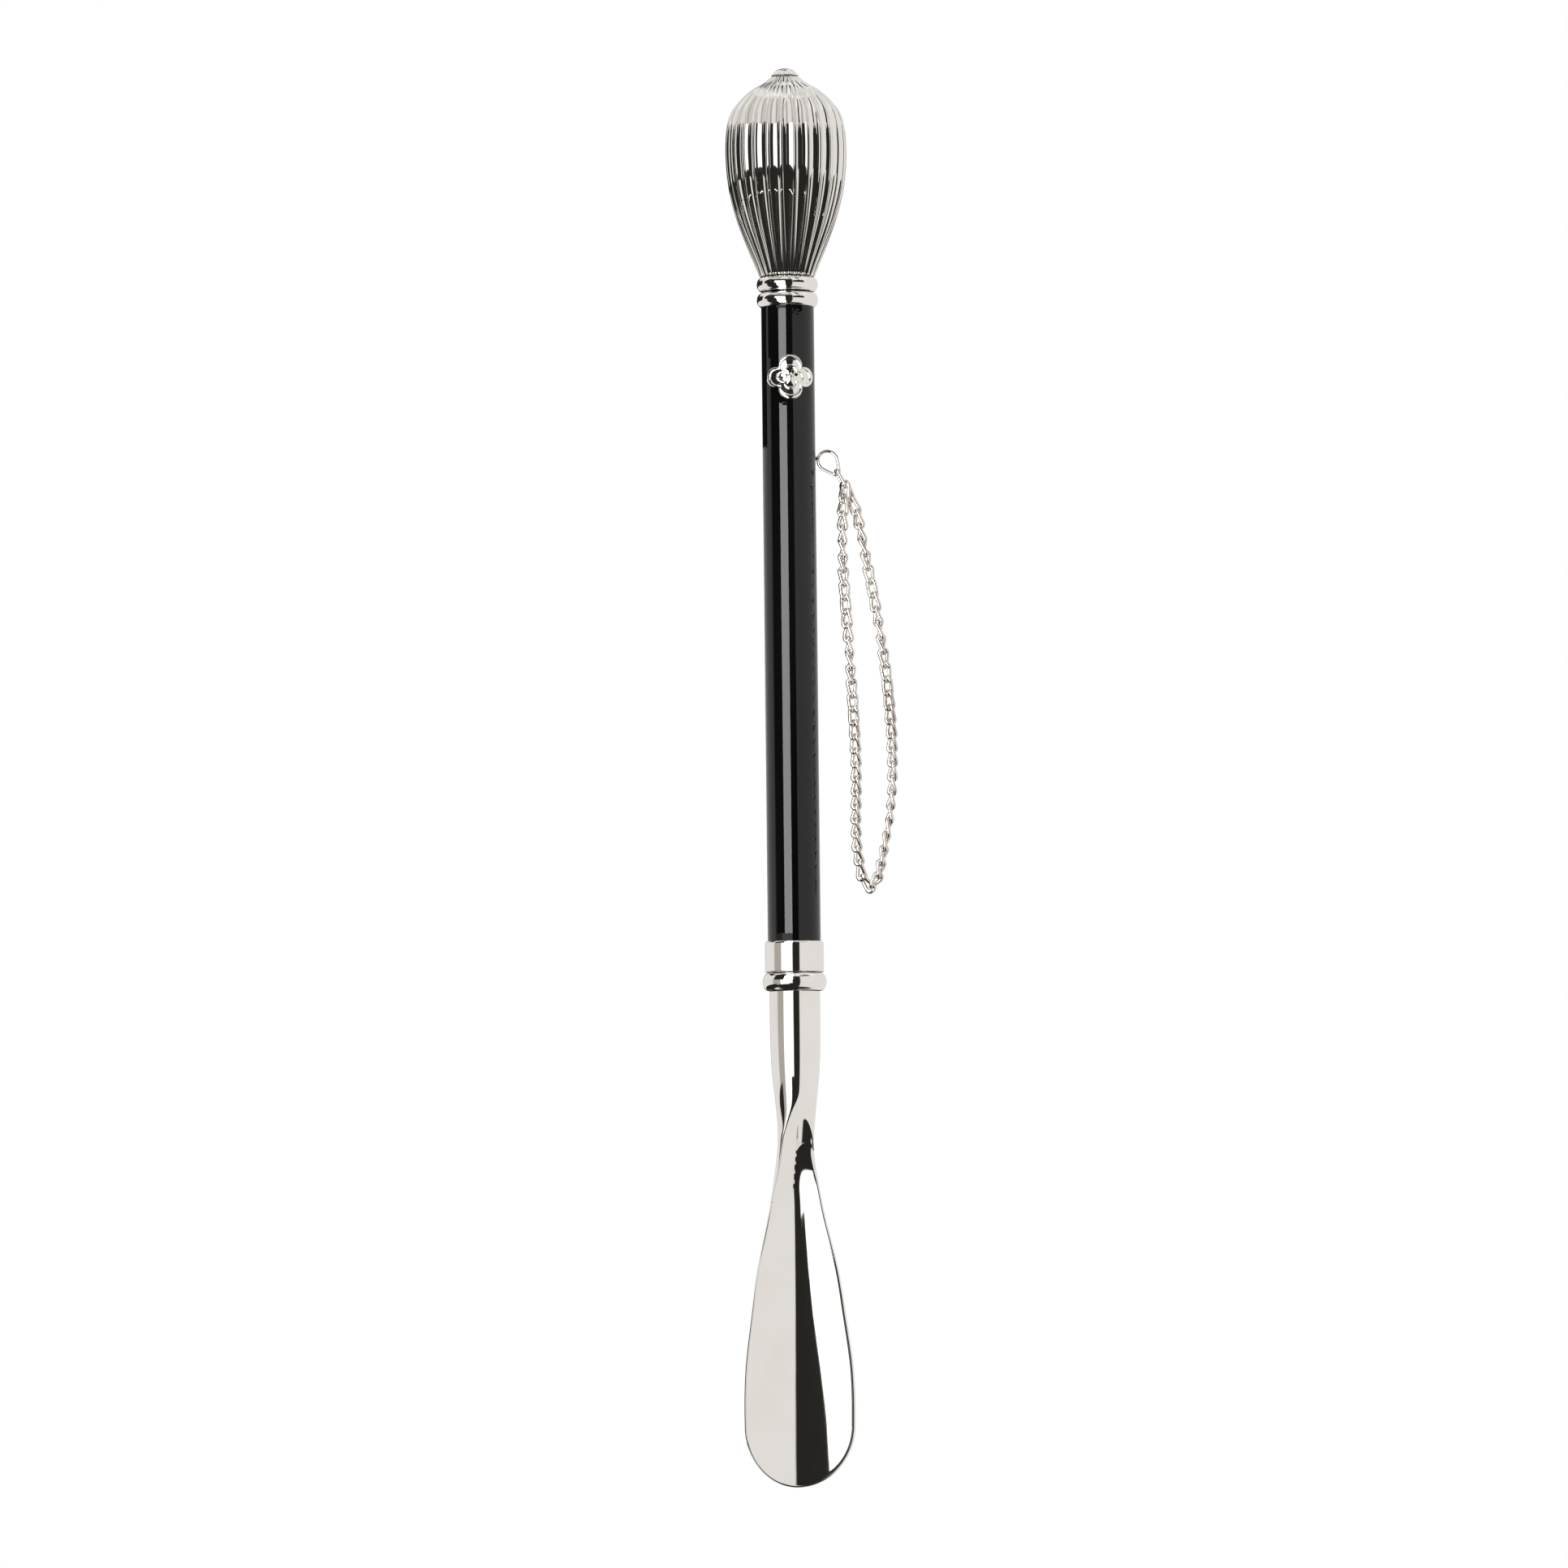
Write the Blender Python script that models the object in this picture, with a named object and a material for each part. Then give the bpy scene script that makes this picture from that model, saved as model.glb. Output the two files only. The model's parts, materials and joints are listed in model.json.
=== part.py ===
"""Long shoehorn with a fluted knob, a lacquered shaft, a cast blade and a chain loop.

Frame: metres, +Z up. The origin is under the middle of the whole object, level with the blade's
tip. The badge and the blade's hollow face -Y. The screw eye and the chain loop are on the +X side,
and the loop lies in the XZ plane. Lengths below are in millimetres, and MM turns them into metres.
Points are measured from the shaft's axis, and AXIS is where that axis stands in the frame.
"""

import math

import bmesh
import bpy
from mathutils import Vector

MM = 0.001
AXIS = Vector((-8.0, 0, 0))    # half of what the chain stands out further than the knob
GAP = 0.3                      # clearance between neighbouring pieces

# Levels along the shaft's axis
OVERALL = 508.0                # tip of the blade to the top of the finial
KNOB_TOP = 504.9
KNOB_BASE = 433.0
BEAD_HEIGHT = 5.3              # one bead ring, flat face to flat face
SHAFT_BASE = 184.0
FERRULE_TOP = 194.6
FERRULE_BASE = 183.6
STEM_TOP = 176.6
HOLLOW_TOP = 131.0             # where the blade's hollow starts
BADGE_LEVEL = 396.0
EYE_LEVEL = 367.7

# Radii
SHAFT_RADIUS = 9.45
BEAD_RADIUS = 10.95
BEAD_WAIST = 8.5               # where the half-round of a bead starts
ROD_RADIUS = 2.5               # tie rod and blade stud
ROD_HOLE = ROD_RADIUS + GAP
ROD_DEPTH = 22.0               # how far the tie rod and the stud reach into the shaft
STUD_DEPTH = 20.0              # and the stud into the blade
BORE_SPARE = 1.0               # a bore goes this much deeper than its rod
FERRULE_RADIUS = 10.45
FERRULE_BEAD_RADIUS = 11.35
FERRULE_BEAD_WAIST = 9.0

# Bead rings, counted from the knob down
UPPER_BEAD_TOP = KNOB_BASE - GAP
LOWER_BEAD_TOP = UPPER_BEAD_TOP - BEAD_HEIGHT - GAP
LOWER_BEAD_BASE = LOWER_BEAD_TOP - BEAD_HEIGHT
SEAT_DEPTH = 1.0               # the lower ring's recess that takes the shaft's end
SEAT_RADIUS = SHAFT_RADIUS + GAP
COLLAR_RADIUS = 10.05          # flat underside of the lower ring runs out to here
SHAFT_TOP = LOWER_BEAD_BASE + SEAT_DEPTH - GAP

# Knob
FLUTES = 28
FLUTE_DEPTH = 0.85
KNOB_WALL = 3.4
KNOB_MOUTH = 7.4               # radius of the opening in the knob's base
MOUTH_DEPTH = 2.6
KNOB_TURN = math.radians(-8.0)  # first rib, from -Y towards -X
# turned profile, radius and level, finial end first
KNOB_PROFILE = [
    (4.9, KNOB_TOP),
    (8.0, 502.5),
    (12.6, 499.8),
    (17.2, 495.4),
    (20.3, 490.6),
    (21.8, 480.5),
    (20.9, 465.3),
    (18.1, 453.7),
    (14.7, 444.4),
    (9.9, KNOB_BASE),
]

# Badge
BADGE_HALF_WIDTH = 8.9         # measured round the shaft
BADGE_HALF_HEIGHT = 8.0
BADGE_THICKNESS = 0.9
BADGE_RIM = 0.45               # height of the raised border
LOBE_CENTRE = 0.54             # a lobe's centre and radius, as parts of the badge's half width
LOBE_RADIUS = 1 - LOBE_CENTRE
PRONG_SPACING = 7.0
PRONG_RADIUS = 0.6
PRONG_END = 5.0                # distance from the shaft's axis

# Blade: half width and level from the neck down to where the tip's curve starts
TIP_HEIGHT = 22.0
BLADE_HALF_WIDTH = 19.9
BLADE_WALL = 2.0
BLADE_OUTLINE = [
    (9.0, STEM_TOP),
    (8.9, 158.0),
    (8.3, 146.0),
    (7.0, 133.5),
    (6.65, 122.0),
    (7.7, 111.5),
    (10.4, 95.8),
    (14.4, 78.3),
    (17.0, 61.0),
    (19.3, 43.6),
    (BLADE_HALF_WIDTH, TIP_HEIGHT),
]

# Chain
WIRE = 1.0                     # wire diameter of a link
LINK_HALF_WIDTH = 1.62         # to the wire's centre
LINK_TWIST = math.radians(50)  # a curb link's ends are turned this far from its middle
RUN_GAP = 0.34                 # between wires that turn on each other
FUSED_OVERLAP = 0.26           # between the two links of one pair, which are one solid here
RUN_REACH = (WIRE + RUN_GAP) / 2            # from a meeting point to a link's wire
FUSED_REACH = (WIRE - FUSED_OVERLAP) / 2
STRAND_LINKS = 28              # links in each side of the loop
STRAND_OFFSET = 1.3            # the strands hang in front of and behind the loop's plane
OFFSET_FADE = 45.0             # and come together this far down
BOTTOM_LINK = 5.0              # pitch of the two links across the bottom

# the loop's two sides from the end link down, as (x, z)
LEFT_SIDE = [
    (19.2, 353.0),
    (18.9, 330.0),
    (21.1, 294.7),
    (22.9, 255.0),
    (22.6, 230.0),
    (24.4, 217.6),
]
RIGHT_SIDE = [
    (22.6, 353.6),
    (27.2, 332.0),
    (33.4, 295.0),
    (35.9, 263.0),
    (34.9, 240.0),
    (30.4, 217.6),
]

# Screw eye: an oval of wire, leaning away from the shaft
EYE_WIRE = 0.55                # radius
EYE_HALF_LENGTH = 4.95         # to the wire's centre
EYE_HALF_WIDTH = 2.65
EYE_CENTRE = (14.5, 365.9)
EYE_LEAN = math.radians(37)
EYE_SHANK_END = 3.0
# end link: joins both ends of the chain to the eye
END_WIRE = 0.55
END_LEAN = math.radians(30)
END_HALF_LENGTH = 3.3
END_HALF_WIDTH = 3.2
END_CORNER = 1.1
HOOK_REACH = END_WIRE + RUN_GAP + WIRE / 2   # from the end link's wire to a link's wire


def clear_scene():
    for item in list(bpy.data.objects):
        bpy.data.objects.remove(item, do_unlink=True)


def material(name, colour, metallic, roughness):
    made = bpy.data.materials.new(name)
    made.use_nodes = True
    shader = made.node_tree.nodes["Principled BSDF"]
    shader.inputs["Base Color"].default_value = (*colour, 1.0)
    shader.inputs["Metallic"].default_value = metallic
    shader.inputs["Roughness"].default_value = roughness
    return made


def new_object(name, vertices, faces, finish, at=(0, 0, 0), sharp=35):
    """An object with its origin at a point, from vertices in millimetres from the shaft's axis."""
    mesh = bpy.data.meshes.new(name)
    origin = Vector(at)
    mesh.from_pydata([(Vector(v) - origin) * MM for v in vertices], [], faces)
    work = bmesh.new()
    work.from_mesh(mesh)
    bmesh.ops.recalc_face_normals(work, faces=work.faces)
    work.to_mesh(mesh)
    work.free()
    mesh.materials.append(finish)
    mesh.shade_smooth()
    mesh.set_sharp_from_angle(angle=math.radians(sharp))
    made = bpy.data.objects.new(name, mesh)
    made.location = (AXIS + origin) * MM
    bpy.context.scene.collection.objects.link(made)
    return made


def hidden_tool(tool):
    tool.hide_render = True
    tool.display_type = "WIRE"
    return tool


def boolean(target, tool, operation):
    change = target.modifiers.new(tool.name, "BOOLEAN")
    change.operation = operation
    change.solver = "EXACT"
    change.object = hidden_tool(tool)


def ring_faces(first, second, count):
    return [
        (first + i, first + (i + 1) % count, second + (i + 1) % count, second + i)
        for i in range(count)
    ]


def turned(name, profile, finish, steps, closed=False, at=(0, 0, 0)):
    """A profile of (radius, level) turned about the shaft's axis.

    A closed profile makes a ring. An open one starts and ends on flat round ends.
    """
    vertices = []
    for radius, level in profile:
        for i in range(steps):
            turn = 2 * math.pi * i / steps
            vertices.append((radius * math.cos(turn), radius * math.sin(turn), level))
    faces = []
    rows = len(profile)
    for row in range(rows if closed else rows - 1):
        faces += ring_faces(row * steps, (row + 1) % rows * steps, steps)
    if not closed:
        faces.append(tuple(range(steps)))
        faces.append(tuple(range((rows - 1) * steps, rows * steps)))
    return new_object(name, vertices, faces, finish, at)


def rod(name, start, end, radius, steps, finish):
    """A plain round rod between two points."""
    start, end = Vector(start), Vector(end)
    along = (end - start).normalized()
    side = along.orthogonal().normalized()
    other = along.cross(side)
    vertices = []
    for centre in (start, end):
        for i in range(steps):
            turn = 2 * math.pi * i / steps
            vertices.append(centre + radius * (side * math.cos(turn) + other * math.sin(turn)))
    faces = ring_faces(0, steps, steps)
    faces.append(tuple(range(steps)))
    faces.append(tuple(range(steps, 2 * steps)))
    return new_object(name, vertices, faces, finish)


def smooth_step(value):
    value = min(max(value, 0.0), 1.0)
    return value * value * (3 - 2 * value)


def spline(points, steps):
    """A centripetal Catmull-Rom curve through the points."""
    knots = [Vector(p) for p in points]
    knots = [2 * knots[0] - knots[1], *knots, 2 * knots[-1] - knots[-2]]
    curve = []
    for a, b, c, d in zip(knots, knots[1:], knots[2:], knots[3:]):
        times = [0.0]
        for p, q in ((a, b), (b, c), (c, d)):
            times.append(times[-1] + math.sqrt((q - p).length))
        t0, t1, t2, t3 = times
        for i in range(steps):
            t = t1 + (t2 - t1) * i / steps
            ab = a.lerp(b, (t - t0) / (t1 - t0))
            bc = b.lerp(c, (t - t1) / (t2 - t1))
            cd = c.lerp(d, (t - t2) / (t3 - t2))
            abc = ab.lerp(bc, (t - t0) / (t2 - t0))
            bcd = bc.lerp(cd, (t - t1) / (t3 - t1))
            curve.append(abc.lerp(bcd, (t - t1) / (t2 - t1)))
    curve.append(knots[-2])
    return curve


# Knob and its fixings


def flute_depth(radius):
    """Flutes are full depth on the bulb and fade where they crowd together."""
    return FLUTE_DEPTH * smooth_step((radius - 1.0) / 16.0)


def knob_outline(steps):
    return [(p.x, p.y) for p in spline([(r, z, 0) for r, z in KNOB_PROFILE], steps)]


def make_knob(finish):
    """Fluted cast bulb, hollow, open at the base and bored at the top for the tie rod."""
    outline = knob_outline(2)
    half = math.pi / FLUTES
    # one flute: the rib's top, then the two sides of the channel, as turn and share of the depth
    flute_points = ((0.0, 0.0), (half * 0.7, 0.92), (half * 1.3, 0.92))
    around = FLUTES * len(flute_points)
    vertices = []
    for radius, level in outline:
        for flute in range(FLUTES):
            middle = KNOB_TURN + 2 * half * flute
            for turn, share in flute_points:
                r = radius - flute_depth(radius) * share
                angle = middle + turn
                vertices.append((r * math.sin(angle), -r * math.cos(angle), level))
    faces = []
    for row in range(len(outline) - 1):
        faces += ring_faces(row * around, (row + 1) * around, around)
    faces.append(tuple(range(around)))
    faces.append(tuple(range((len(outline) - 1) * around, len(outline) * around)))
    knob = new_object("knob_shell", vertices, faces, finish)

    cavity = [(KNOB_MOUTH, KNOB_BASE - 2.0), (KNOB_MOUTH, KNOB_BASE + MOUTH_DEPTH)]
    for radius, level in reversed(KNOB_PROFILE[2:-1]):
        cavity.append((radius - KNOB_WALL, min(level, KNOB_TOP - 7.0)))
    cavity.append((ROD_HOLE + 1.2, KNOB_TOP - 5.0))
    boolean(knob, turned("knob_cavity", cavity, finish, 24), "DIFFERENCE")
    hole = rod("knob_hole", (0, 0, KNOB_TOP - 8), (0, 0, KNOB_TOP + 2), ROD_HOLE, 20, finish)
    boolean(knob, hole, "DIFFERENCE")
    return knob


def make_knob_bush(finish):
    """Turned bush that centres the knob's open base on the tie rod."""
    radius = KNOB_MOUTH - GAP
    low, high = KNOB_BASE, KNOB_BASE + MOUTH_DEPTH - GAP
    profile = [(ROD_HOLE, low), (radius, low), (radius, high), (ROD_HOLE, high)]
    return turned("knob_centring_bush", profile, finish, 24, closed=True)


def make_finial(finish):
    """Small domed cap nut that screws down on the tie rod."""
    base = KNOB_TOP + GAP
    radius = 4.9
    profile = [(radius - 0.5, base), (radius, base + 0.45)]
    dome = OVERALL - base - 0.45
    for i in range(1, 6):
        turn = math.radians(15 * i)
        profile.append((radius * math.cos(turn), base + 0.45 + dome * math.sin(turn)))
    profile.append((0.35, OVERALL))
    nut = turned("finial_cap_nut", profile, finish, 32)
    thread = rod("finial_bore", (0, 0, base - 1), (0, 0, base + 1.7), ROD_HOLE, 20, finish)
    boolean(nut, thread, "DIFFERENCE")
    return nut


def make_tie_rod(finish):
    """Threaded rod from the finial through the knob and both rings into the shaft."""
    return rod(
        "tie_rod", (0, 0, SHAFT_TOP - ROD_DEPTH), (0, 0, KNOB_TOP + GAP + 1.4), ROD_RADIUS, 20, finish
    )


def half_round(low, high, start, reach, steps, square_base):
    """Bulging side of a bead, base first. A square base keeps a flat rim under the bead."""
    middle, half = (low + high) / 2, (high - low) / 2
    points = []
    for i in range(steps + 1):
        turn = -math.pi / 2 + math.pi * i / steps
        radius = start + (reach - start) * math.cos(turn)
        if turn < 0:
            radius = max(radius, square_base)
        points.append((radius, middle + half * math.sin(turn)))
    return points


def make_upper_bead(finish):
    low, high = UPPER_BEAD_TOP - BEAD_HEIGHT, UPPER_BEAD_TOP
    side = half_round(low, high, BEAD_WAIST, BEAD_RADIUS, 6, 0)
    profile = [(ROD_HOLE, low), *side, (ROD_HOLE, high)]
    return turned("upper_bead_ring", profile, finish, 36, closed=True)


def make_lower_bead(finish):
    """Like the upper ring, with a recess for the shaft's end and a flat rim around it."""
    low, high = LOWER_BEAD_BASE, LOWER_BEAD_TOP
    side = half_round(low, high, BEAD_WAIST, BEAD_RADIUS, 6, COLLAR_RADIUS)
    seat = low + SEAT_DEPTH
    profile = [(ROD_HOLE, seat), (SEAT_RADIUS, seat), (SEAT_RADIUS, low), *side, (ROD_HOLE, high)]
    return turned("lower_bead_ring", profile, finish, 36, closed=True)


# Shaft and badge


def make_shaft(finish):
    """Lacquered wooden rod with its end bores, the eye's hole and the badge's prong holes."""
    chamfer = 0.4
    profile = [
        (SHAFT_RADIUS - chamfer, SHAFT_TOP),
        (SHAFT_RADIUS, SHAFT_TOP - chamfer),
        (SHAFT_RADIUS, SHAFT_BASE + chamfer),
        (SHAFT_RADIUS - chamfer, SHAFT_BASE),
    ]
    shaft = turned("shaft", profile, finish, 48)
    holes = [
        ((0, 0, SHAFT_TOP - ROD_DEPTH - BORE_SPARE), (0, 0, SHAFT_TOP + 1), ROD_HOLE),
        ((0, 0, SHAFT_BASE - 1), (0, 0, SHAFT_BASE + ROD_DEPTH + BORE_SPARE), ROD_HOLE),
        ((EYE_SHANK_END - 0.5, 0, EYE_LEVEL), (SHAFT_RADIUS + 1, 0, EYE_LEVEL), EYE_WIRE + 0.5),
    ]
    for side in (-1, 1):
        level = BADGE_LEVEL + side * PRONG_SPACING / 2
        holes.append(((0, -SHAFT_RADIUS - 1, level), (0, -PRONG_END + 0.5, level), PRONG_RADIUS + GAP))
    for number, (start, end, radius) in enumerate(holes):
        tool = rod(f"shaft_hole_{number}", start, end, radius, 16, finish)
        boolean(shaft, tool, "DIFFERENCE")
    return shaft


def clover(turn):
    """Outline of four round lobes in a cross, as a radius for each direction."""
    quarter = math.pi / 2
    off = (turn + quarter / 2) % quarter - quarter / 2
    across = LOBE_CENTRE * math.sin(off)
    return LOBE_CENTRE * math.cos(off) + math.sqrt(LOBE_RADIUS**2 - across**2)


def make_badge(finish):
    """Four-lobed plate bent round the shaft, with a raised border, a boss and two prongs."""
    around = 40
    back = SHAFT_RADIUS + GAP
    face = back + BADGE_THICKNESS
    # part of the way out to the edge, and radius from the shaft's axis
    rings = [
        (0.001, face + 0.5),
        (0.16, face + 0.35),
        (0.24, face),
        (0.76, face),
        (0.82, face + BADGE_RIM),
        (0.95, face + BADGE_RIM),
        (1.0, face - 0.1),
        (1.0, back),
        (0.5, back),
        (0.001, back),
    ]
    vertices = []
    for part, radius in rings:
        for i in range(around):
            turn = 2 * math.pi * i / around
            reach = clover(turn) * part
            bend = reach * math.cos(turn) * BADGE_HALF_WIDTH / SHAFT_RADIUS
            level = BADGE_LEVEL + reach * math.sin(turn) * BADGE_HALF_HEIGHT
            vertices.append((radius * math.sin(bend), -radius * math.cos(bend), level))
    faces = []
    for row in range(len(rings) - 1):
        faces += ring_faces(row * around, (row + 1) * around, around)
    faces.append(tuple(range(around)))
    faces.append(tuple(range((len(rings) - 1) * around, len(rings) * around)))
    badge = new_object("clover_badge", vertices, faces, finish)
    for side in (-1, 1):
        level = BADGE_LEVEL + side * PRONG_SPACING / 2
        start = (0, -(back + BADGE_THICKNESS / 2), level)
        prong = rod(f"badge_prong_{side}", start, (0, -PRONG_END, level), PRONG_RADIUS, 10, finish)
        boolean(badge, prong, "UNION")
    return badge


# Ferrule and blade


def make_ferrule(finish):
    """Thin sleeve over the shaft's lower end, with a rounded upper edge."""
    inner, outer = SHAFT_RADIUS + GAP, FERRULE_RADIUS
    profile = [
        (inner, FERRULE_BASE),
        (outer, FERRULE_BASE),
        (outer, FERRULE_TOP - 1.1),
        (outer - 0.12, FERRULE_TOP - 0.5),
        (outer - 0.4, FERRULE_TOP),
        (inner, FERRULE_TOP),
    ]
    return turned("ferrule_sleeve", profile, finish, 40, closed=True)


def make_ferrule_bead(finish):
    """Half-round ring between the sleeve and the blade's stem."""
    low, high = STEM_TOP + GAP, FERRULE_BASE - GAP
    side = half_round(low, high, FERRULE_BEAD_WAIST, FERRULE_BEAD_RADIUS, 6, 0)
    profile = [(ROD_HOLE, low), *side, (ROD_HOLE, high)]
    return turned("ferrule_bead_ring", profile, finish, 40, closed=True)


def make_blade_stud(finish):
    """Hanger bolt that draws the blade up against the ferrule and the shaft."""
    return rod(
        "blade_stud",
        (0, 0, STEM_TOP - STUD_DEPTH),
        (0, 0, SHAFT_BASE + ROD_DEPTH),
        ROD_RADIUS,
        20,
        finish,
    )


def blade_half_width(level):
    """Half width of the blade at a level: the tip is an ellipse, the rest a smooth outline."""
    if level <= TIP_HEIGHT:
        drop = 1 - level / TIP_HEIGHT
        return BLADE_HALF_WIDTH * math.sqrt(max(1 - drop * drop, 0.0))
    curve = spline([(z, w, 0) for w, z in BLADE_OUTLINE], 12)
    for high, low in zip(curve, curve[1:]):
        if low.x <= level <= high.x:
            return low.y + (high.y - low.y) * (level - low.x) / (high.x - low.x)
    return BLADE_OUTLINE[0][0]


def blade_radius(level):
    """Radius of the trough's arc: tight at the neck, wide and constant towards the tip."""
    wide = smooth_step((HOLLOW_TOP - level) / 85.0)
    neck = 1.03
    open_out = 1.36
    return max(blade_half_width(max(level, 48.0)) * (neck + (open_out - neck) * wide), 6.7)


def blade_back(level):
    """How far the back of the blade stands behind the shaft's axis."""
    return 6.7 - 1.6 * smooth_step((HOLLOW_TOP - level) / 100.0)


def blade_section(level, count):
    """Closed section: the back from rim to rim, a round rim, the front face, a round rim.

    Above the hollow the front bulges forward and the section is round. Through the neck it
    dishes in until the wall has its even thickness.
    """
    half = blade_half_width(level)
    dish = smooth_step((HOLLOW_TOP + 3.0 - level) / 24.0)
    radius = blade_radius(level)
    edge = math.asin(min(half / radius, 1.0))
    back = blade_back(level)
    wall = min(BLADE_WALL, half)
    points = []
    for i in range(count):
        turn = -edge + 2 * edge * i / (count - 1)
        trough = Vector((radius * math.sin(turn), back - radius * (1 - math.cos(turn))))
        full = -math.pi / 2 + math.pi * i / (count - 1)
        stem = Vector((half * math.sin(full), half * math.cos(full)))
        points.append(stem.lerp(trough, dish))
    inner = radius - wall
    inset = wall / 2 / radius
    for i in range(count):
        turn = (edge - inset) * (1 - 2 * i / (count - 1))
        trough = Vector((inner * math.sin(turn), back - wall - inner * (1 - math.cos(turn))))
        full = math.pi / 2 + math.pi * (i + 0.5) / count
        stem = Vector((half * math.sin(full), half * math.cos(full)))
        points.append(stem.lerp(trough, dish))
    return [(p.x, p.y, level) for p in points]


def make_blade(finish):
    """Cast blade and stem in one piece, bored at the top for the stud."""
    across = 14
    levels = [STEM_TOP, 166.0, 156.0, 148.0]
    levels += [141.0 - 3.0 * i for i in range(12)]
    levels += [100.0 - 9.0 * i for i in range(8)]
    levels += [TIP_HEIGHT * (1 - math.sin(math.radians(a))) for a in range(0, 90, 10)]
    levels += [0.03]
    vertices = []
    for level in levels:
        vertices += blade_section(level, across)
    around = 2 * across
    faces = []
    for row in range(len(levels) - 1):
        faces += ring_faces(row * around, (row + 1) * around, around)
    faces.append(tuple(range(around)))
    faces.append(tuple(range((len(levels) - 1) * around, len(levels) * around)))
    blade = new_object("shoehorn_blade", vertices, faces, finish)
    base = STEM_TOP - STUD_DEPTH - BORE_SPARE
    bore = rod("blade_bore", (0, 0, base), (0, 0, STEM_TOP + 2), ROD_HOLE, 20, finish)
    boolean(blade, bore, "DIFFERENCE")
    return blade


# Screw eye and chain


def oval(half_length, half_width, corner, arc_steps):
    """Centre line of a loop with four round corners, as (along, across) pairs.

    With a corner radius of half_width the ends are half circles.
    """
    points = []
    for end in (1, -1):
        for side in (-1, 1):
            for i in range(arc_steps + 1):
                turn = math.pi / 2 * i / arc_steps
                if side < 0:
                    turn = math.pi / 2 - turn
                along = half_length - corner * (1 - math.cos(turn))
                across = side * (half_width - corner * (1 - math.sin(turn)))
                if side > 0 and i == 0 and corner == half_width:
                    continue
                points.append((end * along, end * across))
    return points


def wire_loop(points, radius, sides):
    """Vertices and faces of a closed wire through the points."""
    count = len(points)
    centre = sum(points, Vector()) / count
    vertices = []
    for i, point in enumerate(points):
        along = (points[(i + 1) % count] - points[i - 1]).normalized()
        out = point - centre
        out = (out - along * out.dot(along)).normalized()
        other = along.cross(out)
        for s in range(sides):
            turn = 2 * math.pi * (s + 0.5) / sides
            vertices.append(point + radius * (out * math.cos(turn) + other * math.sin(turn)))
    faces = []
    for i in range(count):
        faces += ring_faces(i * sides, (i + 1) % count * sides, sides)
    return vertices, faces


def leaning(angle):
    """Unit vector in the XZ plane, down and away from the shaft."""
    return Vector((math.sin(angle), 0, -math.cos(angle)))


EYE_MIDDLE = Vector((EYE_CENTRE[0], 0, EYE_CENTRE[1]))
EYE_DOWN = leaning(EYE_LEAN)
EYE_HOOK = EYE_MIDDLE + EYE_DOWN * EYE_HALF_LENGTH          # where the end link hangs
END_DOWN = leaning(END_LEAN)
END_MIDDLE = EYE_HOOK + END_DOWN * (END_HALF_LENGTH - EYE_WIRE - END_WIRE - RUN_GAP)
LOOP_HOOK = END_MIDDLE + END_DOWN * END_HALF_LENGTH         # where both strands hang


def make_screw_eye(finish):
    """Oval eye whose shank screws into the shaft from the side."""
    across = Vector((EYE_DOWN.z, 0, -EYE_DOWN.x))
    points = [
        EYE_MIDDLE + EYE_DOWN * a + across * b
        for a, b in oval(EYE_HALF_LENGTH, EYE_HALF_WIDTH, EYE_HALF_WIDTH, 4)
    ]
    vertices, faces = wire_loop(points, EYE_WIRE, 8)
    eye = new_object("screw_eye", vertices, faces, finish, sharp=60)
    nearest = min(points, key=lambda p: p.x)
    level = EYE_LEVEL
    shank = rod(
        "eye_shank", (EYE_SHANK_END, 0, level), (nearest.x + 0.1, 0, level), EYE_WIRE + 0.2, 10, finish
    )
    boolean(eye, shank, "UNION")
    return eye


def make_end_link(finish):
    """Wider link, seen edge on, that joins both ends of the chain to the eye."""
    points = [
        END_MIDDLE + END_DOWN * a + Vector((0, b, 0))
        for a, b in oval(END_HALF_LENGTH, END_HALF_WIDTH, END_CORNER, 3)
    ]
    vertices, faces = wire_loop(points, END_WIRE, 8)
    return new_object("chain_end_link", vertices, faces, finish, at=EYE_HOOK, sharp=60)


def strand_joints(side, offset):
    """Points where the links of one strand meet, evenly spaced from the end link down."""
    hook = (LOOP_HOOK.x, LOOP_HOOK.z)
    path = spline([(x, z, 0) for x, z in [hook, *side]], 40)
    lengths = [0.0]
    for a, b in zip(path, path[1:]):
        lengths.append(lengths[-1] + (b - a).length)
    joints = []
    step = 0
    for i in range(STRAND_LINKS + 1):
        wanted = lengths[-1] * i / STRAND_LINKS
        while step < len(path) - 2 and lengths[step + 1] < wanted:
            step += 1
        part = (wanted - lengths[step]) / (lengths[step + 1] - lengths[step])
        place = path[step].lerp(path[step + 1], part)
        fade = 1 - smooth_step((LOOP_HOOK.z - place.y) / OFFSET_FADE)
        joints.append(Vector((place.x, offset * fade, place.y)))
    return joints


def loop_joints():
    """All points where links meet, down the left strand, across the bottom and up the right."""
    left = strand_joints(LEFT_SIDE, -STRAND_OFFSET)
    right = strand_joints(RIGHT_SIDE, STRAND_OFFSET)
    half_span = (right[-1] - left[-1]) / 2
    drop = math.sqrt(BOTTOM_LINK**2 - half_span.length_squared)
    lowest = left[-1] + half_span + Vector((0, 0, -drop))
    return left + [lowest] + right[::-1]


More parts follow.
